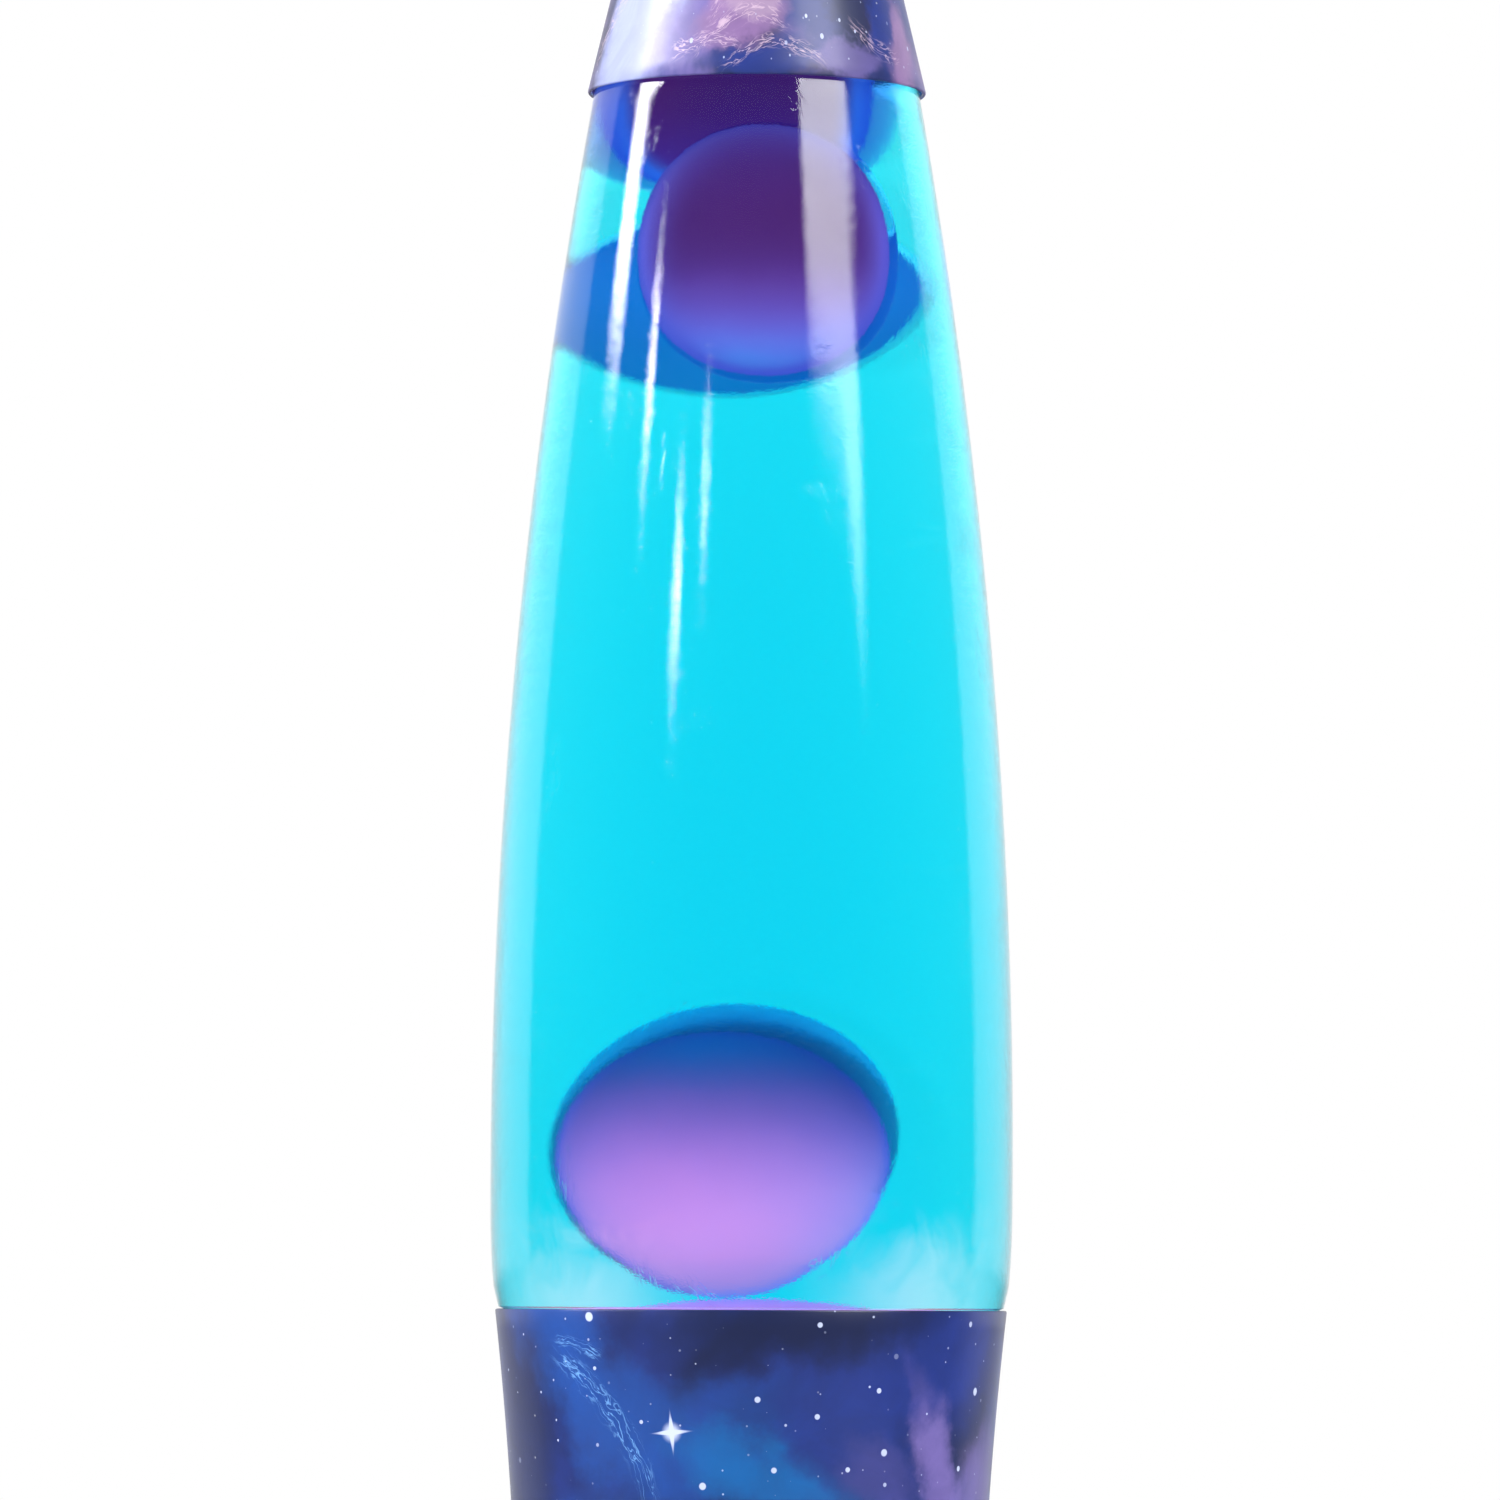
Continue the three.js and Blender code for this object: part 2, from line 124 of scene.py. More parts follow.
def ramp(tree, value, low, high, to=(0.0, 1.0), smooth=True):
    kind = "SMOOTHSTEP" if smooth else "LINEAR"
    values = {"Value": value, "From Min": low, "From Max": high, "To Min": to[0], "To Max": to[1]}
    return addNode(tree, "ShaderNodeMapRange", values, interpolation_type=kind).outputs[0]


def mixColor(tree, factor, a, b):
    return addNode(tree, "ShaderNodeMix", {0: factor, 6: a, 7: b}, data_type="RGBA").outputs[2]


def noiseOf(tree, place, scale, detail=4.0, rough=0.55, twist=0.0):
    values = {"Vector": place, "Scale": scale, "Detail": detail, "Roughness": rough, "Distortion": twist}
    return addNode(tree, "ShaderNodeTexNoise", values).outputs["Fac"]


def newMaterial(name, values):
    material = bpy.data.materials.new(name)
    material.use_nodes = True
    shader = material.node_tree.nodes["Principled BSDF"]
    for socket, value in values.items():
        shader.inputs[socket].default_value = value
    return material, material.node_tree, shader


def objectPlace(tree):
    return addNode(tree, "ShaderNodeTexCoord").outputs["Object"]


def split(tree, place):                      # the place's x, y and z
    return addNode(tree, "ShaderNodeSeparateXYZ", {0: place}).outputs


def feed(tree, shader, socket, value):
    tree.links.new(value, shader.inputs[socket])


def addBump(tree, shader, height, strength, distance):
    bump = addNode(tree, "ShaderNodeBump", {"Strength": strength, "Distance": distance, "Height": height})
    feed(tree, shader, "Normal", bump.outputs[0])


def newGroup(name, inputs, outputs):         # a shader node group with its named sockets
    group = bpy.data.node_groups.new(name, "ShaderNodeTree")
    for socket, kind, value in inputs:
        made = group.interface.new_socket(name=socket, in_out="INPUT", socket_type="NodeSocket" + kind)
        if value is not None:
            made.default_value = value
    for socket, kind in outputs:
        group.interface.new_socket(name=socket, in_out="OUTPUT", socket_type="NodeSocket" + kind)
    return group, group.nodes.new("NodeGroupInput").outputs, group.nodes.new("NodeGroupOutput").inputs


def useGroup(tree, group, inputs):
    return addNode(tree, "ShaderNodeGroup", inputs, node_tree=group).outputs


def linear(red, green, blue):                # a screen colour, 0 to 255, as a shader colour
    levels = [c / 255 for c in (red, green, blue)]
    return tuple(c / 12.92 if c < 0.0405 else ((c + 0.055) / 1.055) ** 2.4 for c in levels) + (1,)


# Handling marks that most finishes share: fine scratches, dust specks and a soft unevenness. The sizes are
# noise scales, per metre.
marking = {"patches": 45, "lines": 110, "linesWhere": 60, "specks": 520, "hair": 0.012}


def makeWearGroup():
    group, inputs, outputs = newGroup("wear", [("Place", "Vector", None), ("Scale", "Float", 1.0)],
                                      [("Uneven", "Float"), ("Scratch", "Float"), ("Dust", "Float")])
    sized = {0: inputs["Place"], "Scale": inputs["Scale"]}
    place = addNode(group, "ShaderNodeVectorMath", sized, operation="SCALE").outputs[0]
    group.links.new(noiseOf(group, place, marking["patches"], 5), outputs["Uneven"])
    drawn = {"Vector": place, "Rotation": (0.5, 0.9, 0.3), "Scale": (1, 14, 1)}
    lines = noiseOf(group, addNode(group, "ShaderNodeMapping", drawn).outputs[0], marking["lines"], 2)
    middle = calc(group, "ABSOLUTE", minus(group, lines, 0.5))
    hair = ramp(group, middle, 0.0, marking["hair"], (1.0, 0.0))
    some = ramp(group, noiseOf(group, place, marking["linesWhere"], 1), 0.62, 0.7)
    group.links.new(times(group, hair, some), outputs["Scratch"])
    cells = addNode(group, "ShaderNodeTexVoronoi", {"Vector": place, "Scale": marking["specks"]}).outputs
    speck = ramp(group, cells["Distance"], 0.05, 0.12, (1.0, 0.0))
    pick = addNode(group, "ShaderNodeSeparateColor", {0: cells["Color"]}).outputs[0]
    group.links.new(times(group, speck, ramp(group, pick, 0.9, 0.92)), outputs["Dust"])
    return group


wear = makeWearGroup()

view = {
    "distance": 1.415, "height": 0.1434, "aside": -0.00015,  # metres
    "lens": 233.3, "sensor": 36.0,           # millimetres
    "tilt": 3.238, "roll": 0.28,             # degrees
}


def makeCamera():
    data = bpy.data.cameras.new("camera")
    data.lens = view["lens"]
    data.sensor_width = view["sensor"]
    data.clip_start = 0.01
    data.clip_end = 50
    camera = bpy.data.objects.new("camera", data)
    camera.location = (view["aside"], -view["distance"], view["height"])
    camera.rotation_euler = (math.radians(90 + view["tilt"]), math.radians(-view["roll"]), 0)
    scene.collection.objects.link(camera)
    scene.camera = camera


# The camera and clear glass see plain white. Reflections see white round the back and a dark front with a
# strip on the left, a softbox on the right and three slits. Places are degrees round from the camera and
# degrees above the level, and a slanting side is a line: from this height, this slope, this place.
studio = {
    "backdrop": 1.0, "dark": 0.012,          # brightness of the white and of the dark front
    "leftEdge": -116, "rightEdge": 116,      # where the white ends
    "below": 0.35,                           # how much of the light stays below the level
    "strip": 30.0, "stripOuter": -94, "stripInner": -84, "stripHeights": (17.0, 48),
    "stripSide": (18, 1.25, -88),
    "box": 12.0, "boxLeft": 31, "boxMiddle": 59.5, "boxRight": 68, "boxHeights": (12.6, 50),
    "boxLeftSides": ((12.6, -1.25, 54.5), (17.8, -5.3, 48)),
    "boxRightSides": ((12.6, 0.9, 54.5), (20.6, 3.3, 59.5)),
    "slits": 75.0, "slitHalf": 0.8,
    "slitPlaces": ((-61, 16.8, 20.2), (-39, 13.3, 15.7), (-26, 16.7, 17.8)),  # round, lower end, upper end
}


def makeStudio():
    world = bpy.data.worlds.new("studio")
    world.use_nodes = True
    scene.world = world
    tree = world.node_tree
    parts = split(tree, addNode(tree, "ShaderNodeTexCoord").outputs["Generated"])
    around = calc(tree, "DEGREES", calc(tree, "ARCTAN2", parts[0], times(tree, parts[1], -1)))
    above = calc(tree, "DEGREES", calc(tree, "ARCSINE", parts[2]))

    def within(value, low, high, soft):      # 1 between low and high, with soft ends
        rise = ramp(tree, minus(tree, value, low), -soft, soft)
        fall = ramp(tree, minus(tree, high, value), -soft, soft)
        return times(tree, rise, fall)

    front = within(around, studio["leftEdge"], studio["rightEdge"], 1.5)
    light = ramp(tree, front, 0, 1, (studio["backdrop"], studio["dark"]), False)
    light = times(tree, light, ramp(tree, above, -5, -1, (studio["below"], 1.0)))
    inner = calc(tree, "MAXIMUM", studio["stripInner"], sloped(tree, above, *studio["stripSide"]))
    strip = within(around, studio["stripOuter"], inner, 0.8)
    strip = times(tree, strip, within(above, *studio["stripHeights"], 0.4))
    shallow, steep = [sloped(tree, above, *side) for side in studio["boxLeftSides"]]
    left = calc(tree, "MAXIMUM", studio["boxLeft"], calc(tree, "MINIMUM", shallow, steep))
    lowerSide, upperSide = studio["boxRightSides"]
    lower = calc(tree, "MINIMUM", studio["boxMiddle"], sloped(tree, above, *lowerSide))
    right = calc(tree, "MAXIMUM", lower, sloped(tree, above, *upperSide))
    right = calc(tree, "MINIMUM", studio["boxRight"], right)
    box = times(tree, within(around, left, right, 0.7), within(above, *studio["boxHeights"], 0.6))
    boxFade = ramp(tree, above, 12, 26, (0.35, 1.0), False)
    light = calc(tree, "MULTIPLY_ADD", strip, studio["strip"], light)
    light = calc(tree, "MULTIPLY_ADD", times(tree, box, boxFade), studio["box"], light)
    for place, low, high in studio["slitPlaces"]:
        across = within(around, place - studio["slitHalf"], place + studio["slitHalf"], 0.3)
        slit = times(tree, across, within(above, low, high, 0.6))
        light = calc(tree, "MULTIPLY_ADD", slit, studio["slits"], light)
    path = addNode(tree, "ShaderNodeLightPath")
    straight = calc(tree, "MAXIMUM", path.outputs["Is Camera Ray"], path.outputs["Is Transmission Ray"])
    straight = times(tree, straight, calc(tree, "LESS_THAN", path.outputs["Diffuse Depth"], 0.5))
    seen = calc(tree, "ADD", times(tree, light, minus(tree, 1, straight)), straight)
    background = tree.nodes["Background"]
    background.inputs["Color"].default_value = (1, 1, 1, 1)
    tree.links.new(seen, background.inputs["Strength"])


floorPlan = {"radius": 5.0, "color": (0.86, 0.865, 0.87, 1)}


def makeFloor():
    shape = bmesh.new()
    bmesh.ops.create_circle(shape, cap_ends=True, segments=64, radius=floorPlan["radius"])
    mesh = bpy.data.meshes.new("floor")
    shape.to_mesh(mesh)
    shape.free()
    material = newMaterial("paleFloor", {"Base Color": floorPlan["color"], "Roughness": 0.6})[0]
    mesh.materials.append(material)
    floor = bpy.data.objects.new("floor", mesh)
    scene.collection.objects.link(floor)
    floor.visible_glossy = False             # gloss sees the studio only


makeCamera()
makeStudio()
makeFloor()
print("camera, studio and floor made")


# Heights in the bottle's own outlines are above the base's rim.
bottle = {
    "widest": 0.038, "bulge": 0.022, "ledge": 0.03705, "shoulder": 0.0238, "taper": 1.96, "tuck": 3.5,
    "wall": 0.0026, "depth": 0.028, "kick": 0.0014, "neck": 0.013, "bead": 0.0141, "mouth": 0.0102,
    "fill": 0.187, "gap": 0.00012, "steps": 160,
}
bottle["shoulderHeight"] = capRimZ - rimZ


def bottleRadiusAt(height):                  # outer radius between the base and the cap
    if height > bottle["bulge"]:
        rise = (height - bottle["bulge"]) / (bottle["shoulderHeight"] - bottle["bulge"])
        return blend(bottle["widest"], bottle["shoulder"], rise ** bottle["taper"])
    drop = (bottle["bulge"] - height) / bottle["bulge"]
    return blend(bottle["widest"], bottle["ledge"], drop ** bottle["tuck"])


def bottleSide(inset, first=0.00035, count=60):
    heights = [blend(first, bottle["shoulderHeight"], t) for t in even(count)]
    return [(bottleRadiusAt(h) - inset, h) for h in heights]


def innerWall(inset):                        # inner face of the glass, from its floor to its shoulder's end
    floor = bottle["wall"] + bottle["kick"] - bottle["depth"] + inset
    ledge = bottle["ledge"] - bottle["wall"] - inset
    heel = bend((0.0262 - inset, floor), (0.0302 - inset, floor), (0.0304 - inset, floor + 0.006), 8)
    foot = bend(heel[-1], (ledge - 0.0016, -0.006), (ledge, 0.0015), 6)
    shoulder = bend((0.0209 - inset, 0.1786), (0.0192 - inset, 0.184), (bottle["mouth"] - inset, 0.192), 12)
    return [(0, floor)] + heel + foot[1:] + bottleSide(bottle["wall"] + inset, 0.003)[1:] + shoulder


def raised(outline, lift=rimZ):
    return [(r, z + lift) for r, z in outline]


def makeBottle(dryGlass, wetGlass):
    deep = -bottle["depth"]
    bead = bottle["bead"]
    outside = [(0, deep + 0.0022), (0.012, deep + 0.002), (0.018, deep + 0.0016), (0.0205, deep + 0.0006)]
    outside += bend((0.0222, deep), (0.0324, deep), (0.0327, deep + 0.008), 12)
    outside += [(bottle["ledge"] - 0.00105, -0.0012), (bottle["ledge"] - 0.0009, 0.0001)]
    outside += [(bottle["ledge"] - 0.0003, 0.0003)] + bottleSide(0)[1:]
    outside += bend((0.0234, 0.1788), (0.0222, 0.186), (bottle["neck"], 0.194), 14)
    outside += [(bottle["neck"], 0.2)]
    outside += bend((bead, 0.2008), (bead + 0.0003, 0.2025), (bead - 0.0002, 0.2042), 5)
    outside += [(0.0133, 0.205), (0.0108, 0.205), (bottle["mouth"], 0.2044)]
    inside = innerWall(0)
    inside.reverse()
    shape = spun(raised(outside + inside), bottle["steps"])
    low = rimZ + deep + bottle["wall"]
    for face in shape.faces:                 # the inner faces that the liquid wets
        middle = face.calc_center_median()
        inward = face.normal.x * middle.x + face.normal.y * middle.y < 0
        floorFace = low < middle.z < rimZ - 0.02 and face.normal.z > 0.3
        if middle.z < rimZ + bottle["fill"] and (inward or floorFace):
            face.material_index = 1
    return makePiece("bottleGlass", shape, "bottle", [dryGlass, wetGlass], ["bottle"], 50)


def makeLiquid(material, surface):
    side = [p for p in innerWall(bottle["gap"]) if p[1] < bottle["fill"]]
    top = [(side[-1][0] - 0.0008, bottle["fill"]), (0, bottle["fill"] - 0.0002)]
    shape = spun(raised(side + top), bottle["steps"])
    for face in shape.faces:
        if face.calc_center_median().z > rimZ + bottle["fill"] - 0.0006:
            face.material_index = 1
    return makePiece("liquidFill", shape, "bottle", [material, surface], ["liquid"], 50)


glass = {"index": 1.5, "wetIndex": 1.128, "fine": 3600, "wavy": 600, "bump": 0.085}


def makeGlassMaterials():
    clear = {"Base Color": (1, 1, 1, 1), "Roughness": 0.0, "Transmission Weight": 1.0}
    material, tree, shader = newMaterial("bottleGlass", {**clear, "IOR": glass["index"]})
    place = objectPlace(tree)
    marks = useGroup(tree, wear, {"Place": place, "Scale": 1.3})
    fine = noiseOf(tree, place, glass["fine"], 1)
    wave = calc(tree, "MULTIPLY_ADD", fine, 0.55, noiseOf(tree, place, glass["wavy"], 3))
    wave = calc(tree, "MULTIPLY_ADD", marks["Scratch"], -1.2, wave)
    wave = calc(tree, "MULTIPLY_ADD", marks["Dust"], 5.0, wave)
    addBump(tree, shader, wave, glass["bump"], 0.0002)
    wet = newMaterial("bottleGlassWet", {**clear, "IOR": glass["wetIndex"]})[0]
    return material, wet


# Light from the bulb is painted as a pale glow in the liquid just over the base's rim, in four lobes.
liquid = {"tint": (0.0, 0.94, 0.988, 1), "density": 88.0, "surfaceIndex": 1.33,
          "paintedBulbLight": (0.32, 0.12, 0.08, 1), "paintedBulbLightTop": 0.0155, "paintedBulbLightLobe": 3.2}


def makeLiquidMaterials():
    plain = {"Base Color": (1, 1, 1, 1), "Roughness": 0.0, "Transmission Weight": 1.0,
             "Emission Strength": 1.0}
    made = []
    for name, index in (("cyanLiquid", 1.0), ("liquidSurface", liquid["surfaceIndex"])):
        material, tree, shader = newMaterial(name, {**plain, "IOR": index})
        tinted = {"Color": liquid["tint"], "Density": liquid["density"]}
        absorb = addNode(tree, "ShaderNodeVolumeAbsorption", tinted)
        tree.links.new(absorb.outputs[0], tree.nodes["Material Output"].inputs["Volume"])
        place = objectPlace(tree)
        parts = split(tree, place)
        # painted light: a pale emission on the front faces, in four lobes and fading upwards, stands in for
        # the bulb's light
        turn = calc(tree, "ARCTAN2", parts[0], times(tree, parts[1], -1))
        wave = calc(tree, "ABSOLUTE", calc(tree, "SINE", times(tree, turn, 2)))
        lobe = calc(tree, "POWER", wave, liquid["paintedBulbLightLobe"])
        cloud = noiseOf(tree, place, 130, 5, 0.6, 0.8)
        cloud = calc(tree, "MULTIPLY_ADD", cloud, 0.02, minus(tree, parts[2], 0.01))
        level = ramp(tree, cloud, rimZ, rimZ + liquid["paintedBulbLightTop"], (1.0, 0.0))
        front = minus(tree, 1, addNode(tree, "ShaderNodeNewGeometry").outputs["Backfacing"])
        mask = times(tree, times(tree, lobe, level), front)
        feed(tree, shader, "Emission Color", mixColor(tree, mask, (0, 0, 0, 1), liquid["paintedBulbLight"]))
        made.append(material)
    return made


dryGlass, wetGlass = makeGlassMaterials()
makeBottle(dryGlass, wetGlass)
makeLiquid(*makeLiquidMaterials())
print("bottle and liquid made")


# Wax is a clear tinted skin round a milky core with a painted glow from below: the core's emission stands in
# for the bulb's light. The core's size is a share of the skin's half sizes, and its painted glow colours go
# from its underside to its top. The side colour is painted backlight that comes in over the turn, from faces
# that look at the camera (0) to those edge on (1). The rim colour is painted edge shade on the clear skin.
wax = {
    "waxLow": {
        "node": "wax_blob_low", "body": "wax_low", "half": (0.0187, 0.019, 0.0204), "lean": 30.5,
        "lift": 0.0005, "blunt": 2.0, "density": 95.0, "tint": (0.5, 0.0, 0.48, 1),
        "core": (0.97, 0.96, 0.88), "shift": (-0.0001, 0.0, -0.0022), "power": 4.0,
        "side": (0.12, 0.06, 0.26, 1), "turn": (0.55, 1.15),
        "paintedGlow": ((0.0, (1.2, 0.07, 0.19)), (0.15, (0.95, 0.09, 0.235)), (0.36, (0.6, 0.078, 0.23)),
                 (0.56, (0.33, 0.05, 0.185)), (0.75, (0.15, 0.03, 0.125)), (0.88, (0.03, 0.035, 0.12)),
                 (1.0, (0.0, 0.05, 0.15)))},
    "waxFront": {
        "node": "wax_blob_front", "body": "wax_front", "half": (0.0164, 0.0124, 0.0191), "lean": 0,
        "lift": 0.0, "blunt": 2.1, "density": 55.0, "tint": (0.6, 0.0, 0.72, 1),
        "core": (0.95, 0.95, 0.955), "shift": (-0.0006, 0.0, 0.0004), "power": 1.0,
        "side": (0.2, 0.12, 0.68, 1), "turn": (0.1, 0.66), "rim": (0.6, 0.75, 1.0, 1),
        "paintedGlow": ((0.0, (0.12, 0.45, 1.0)), (0.1, (0.28, 0.2, 0.9)), (0.26, (0.22, 0.08, 0.52)),
                 (0.44, (0.088, 0.016, 0.17)), (0.7, (0.08, 0.014, 0.15)), (1.0, (0.085, 0.02, 0.22)))},
    "waxRear": {
        "node": "wax_blob_rear", "body": "wax_rear", "half": (0.0176, 0.0096, 0.0142), "lean": -12,
        "lift": 0.0, "blunt": 1.9, "density": 60.0, "tint": (0.6, 0.0, 0.6, 1), "core": (0.965, 0.93, 0.95),
        "shift": (-0.0002, 0.0, 0.0), "power": 1.0,
        "paintedGlow": ((0.0, (0.02, 0.26, 0.62)), (0.3, (0.05, 0.2, 0.62)), (0.6, (0.06, 0.25, 0.8)),
                 (1.0, (0.05, 0.16, 0.62)))},
    "waxTop": {
        "node": "wax_top", "body": "bottle", "half": (0.0155, 0.0105, 0.0155), "lean": 0, "lift": 0.0,
        "blunt": 3.0, "density": 88.0, "tint": (0.6, 0.0, 0.76, 1), "core": (0.82, 0.9, 0.94),
        "shift": (0.0004, 0.0, 0.0), "power": 1.0, "side": (0.12, 0.2, 0.85, 1), "turn": (0.12, 0.66),
        "rim": (0.5, 0.7, 1.0, 1), "crown": 0.009,
        "paintedGlow": ((0.0, (0.3, 0.04, 0.4)), (0.25, (0.25, 0.014, 0.22)), (0.6, (0.21, 0.014, 0.14)),
                 (1.0, (0.2, 0.014, 0.12)))},
}


def makeSkinMaterial(name, plan):
    material, tree, shader = newMaterial(name, {
        "Base Color": (1, 1, 1, 1), "Roughness": 0.0, "IOR": 1.012, "Transmission Weight": 1.0})
    absorb = addNode(tree, "ShaderNodeVolumeAbsorption", {"Color": plan["tint"], "Density": plan["density"]})
    tree.links.new(absorb.outputs[0], tree.nodes["Material Output"].inputs["Volume"])
    # painted shade: the rim colour darkens and tints the light through the skin where it is edge on
    rim = addNode(tree, "ShaderNodeLayerWeight", {"Blend": 0.5}).outputs["Facing"]
    edge = ramp(tree, rim, 0.55, 0.97)
    paintedEdgeShade = plan.get("rim", (0.25, 0.5, 0.72, 1))
    feed(tree, shader, "Base Color", mixColor(tree, edge, (1, 1, 1, 1), paintedEdgeShade))
    return material


# painted light: the core's emission stands in for the bulb's light from below, from its underside to its top
def makePaintedGlowMaterial(name, low, high, plan):
    material, tree, shader = newMaterial(name, {
        "Roughness": 0.5, "Specular IOR Level": 0.0, "Emission Strength": plan["power"]})
    place = objectPlace(tree)
    height = split(tree, place)[2]
    milk = noiseOf(tree, place, 90, 3)
    up = calc(tree, "MULTIPLY_ADD", minus(tree, milk, 0.5), 0.08,
              ramp(tree, height, low, high, (0.0, 1.0), False))
    stops = addNode(tree, "ShaderNodeValToRGB", {"Fac": up})
    stops.color_ramp.interpolation = "B_SPLINE"
    for i, (spot, color) in enumerate(plan["paintedGlow"]):
        stop = stops.color_ramp.elements[i] if i < 2 else stops.color_ramp.elements.new(spot)
        stop.position = spot
        stop.color = (*color, 1)
    light = stops.outputs["Color"]
    if "side" in plan:                       # painted backlight: light through the thinner wax at the sides is painted into the glow
        facing = addNode(tree, "ShaderNodeLayerWeight", {"Blend": 0.5}).outputs["Facing"]
        paintedBacklight = times(tree, ramp(tree, facing, *plan["turn"]), ramp(tree, up, 0.5, 1.0, (1.0, 0.3)))
        light = mixColor(tree, paintedBacklight, light, plan["side"])
    feed(tree, shader, "Emission Color", light)
    feed(tree, shader, "Base Color", mixColor(tree, milk, (0.01, 0.004, 0.02, 1), (0.03, 0.01, 0.05, 1)))
    return material


def bluntBall(half, blunt, crown):           # a ball whose sides are squarer as blunt goes past 2
    shape = bmesh.new()
    bmesh.ops.create_uvsphere(shape, u_segments=96, v_segments=64, radius=1)
    for vert in shape.verts:
        vert.co /= sum(abs(c) ** blunt for c in vert.co) ** (1 / blunt)
    bmesh.ops.scale(shape, verts=shape.verts, vec=half)
    upper = [v for v in shape.verts if v.co.z > 0]
    bmesh.ops.scale(shape, verts=upper, vec=(1, 1, crown / half[2]))
    return shape


def makeBlob(name, plan):
    crown = plan.get("crown", plan["half"][2])
    low, high = [Vector(corner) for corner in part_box(plan["node"])]
    lean = Matrix.Rotation(math.radians(plan["lean"]), 3, "Y")
    skin = bluntBall(plan["half"], plan["blunt"], crown)
    core = bluntBall([a * b for a, b in zip(plan["half"], plan["core"])], plan["blunt"],
                     crown * plan["core"][2])
    for shape in (skin, core):
        bmesh.ops.rotate(shape, verts=shape.verts, matrix=lean)
    heights = [v.co.z for v in skin.verts]
    middle = (low + high) / 2
    middle.z += plan["lift"] - (min(heights) + max(heights)) / 2
    bmesh.ops.translate(skin, verts=skin.verts, vec=middle)
    bmesh.ops.translate(core, verts=core.verts, vec=middle + Vector(plan["shift"]))
    heights = [v.co.z for v in core.verts]
    paintedGlow = makePaintedGlowMaterial(name + "Core", min(heights), max(heights), plan)
    clear = makeSkinMaterial(name + "Skin", plan)
    makePiece(name, skin, plan["body"], [clear], [plan["node"]], 180)
    makePiece(name + "Core", core, plan["body"], [paintedGlow], [], 180)


for name, plan in wax.items():
    makeBlob(name, plan)

# The wax pool's light from the bulb is painted as emission: pink near the axis, pale further out, dim lower
# down.
pool = {"top": 0.0035, "pink": (1.5, 0.2, 0.62, 1), "pale": (0.6, 0.5, 0.85, 1), "deep": (0.3, 0.03, 0.2, 1),
        "pinkRadius": 0.022, "paleRadius": 0.0265, "gap": 0.0004}


def makePoolMaterial():
    material, tree, shader = newMaterial("waxPool", {"Roughness": 0.5, "Emission Strength": 1.0})
    place = objectPlace(tree)
    flat = addNode(tree, "ShaderNodeVectorMath", {0: place, 1: (1, 1, 0)}, operation="MULTIPLY").outputs[0]
    reach = addNode(tree, "ShaderNodeVectorMath", {0: flat}, operation="LENGTH").outputs["Value"]
    milk = noiseOf(tree, place, 120, 4)
    reach = calc(tree, "MULTIPLY_ADD", milk, 0.003, reach)
    away = ramp(tree, reach, pool["pinkRadius"], pool["paleRadius"])
    height = split(tree, place)[2]
    # painted light: the emission colour stands in for the bulb's light
    light = mixColor(tree, away, pool["pink"], pool["pale"])
    deep = ramp(tree, height, rimZ - 0.012, rimZ - 0.003, (0.0, 1.0))
    feed(tree, shader, "Emission Color", mixColor(tree, deep, pool["deep"], light))
    feed(tree, shader, "Base Color", mixColor(tree, milk, (0.3, 0.05, 0.3, 1), (0.4, 0.1, 0.4, 1)))
    return material


def makePool():
    floor = bottle["wall"] + bottle["kick"] - bottle["depth"] + pool["gap"]
    side = bend((0.0255, floor), (0.0298, floor), (0.0301, floor + 0.006), 8)
    side += bend(side[-1], (0.0318, -0.009), (0.0322, -0.0055), 6)[1:]
    dome = bend(side[-1], (0.0322, -0.0022), (0.026, -0.0012), 6)[1:]
    dome += bend(dome[-1], (0.014, pool["top"]), (0, pool["top"]), 10)[1:]
    shape = spun(raised([(0, floor)] + side + dome), 96)
    return makePiece("waxPool", shape, "bottle", [makePoolMaterial()], ["wax_pool"], 60)


makePool()
print("wax made")

# The night sky printed on the cap and the base. Places are millimetres round the lamp and up from the edge
# that the print starts at. A cloud is: place, half length, half width, turn in degrees, colour, strength.
sky = {
    "unrollRadius": 0.0365, "push": 17, "strokePush": 5.0,
    "navy": linear(24, 32, 66), "royal": linear(30, 50, 128), "blue": linear(22, 70, 150),
    "teal": linear(0, 94, 164), "lavender": linear(112, 98, 166), "mauve": linear(134, 104, 154),
    "cream": linear(196, 172, 192), "pale": linear(158, 166, 216), "wisp": linear(104, 158, 216),
    "star": linear(186, 196, 228),
}
baseClouds = [
    (-24, -13, 27, 8.5, -42, "blue", 1.0), (0, -17, 22, 8, -12, "blue", 0.6),
    (3, -23, 16, 5.8, -18, "teal", 0.9), (16, -19, 14, 7, -35, "royal", 0.9),
    (33, -23, 17, 4.6, -58, "lavender", 0.95), (29, -8, 8, 7, 0, "royal", 0.8),
    (46, -27, 9, 9, 0, "lavender", 0.7), (22, -25, 8, 5, -40, "lavender", 0.2),
    (6, -3, 20, 6.5, 4, "navy", 0.9), (-11, -34, 12, 6, 20, "navy", 0.6), (-44, -22, 12, 22, 0, "navy", 0.8),
]
capClouds = [
    (-30, 12, 26, 13, 60, "pale", 1.0), (-14, 8, 13, 7, 10, "lavender", 0.8),
    (16, 14, 12, 12, 20, "royal", 1.0), (24, 14, 8, 12, 0, "navy", 0.85),
    (-2, 9.5, 13, 5.5, 16, "mauve", 1.0), (-1, 11, 8, 3, 8, "cream", 0.4),
    (3, 1.6, 15, 3.4, 4, "royal", 0.95), (41, 5, 7, 8, -30, "mauve", 1.0),
    (22, 3, 10, 3.4, 8, "lavender", 0.7), (33, 10, 5, 8, 10, "royal", 1.0), (-4, 33, 30, 9, 12, "blue", 0.8),
]
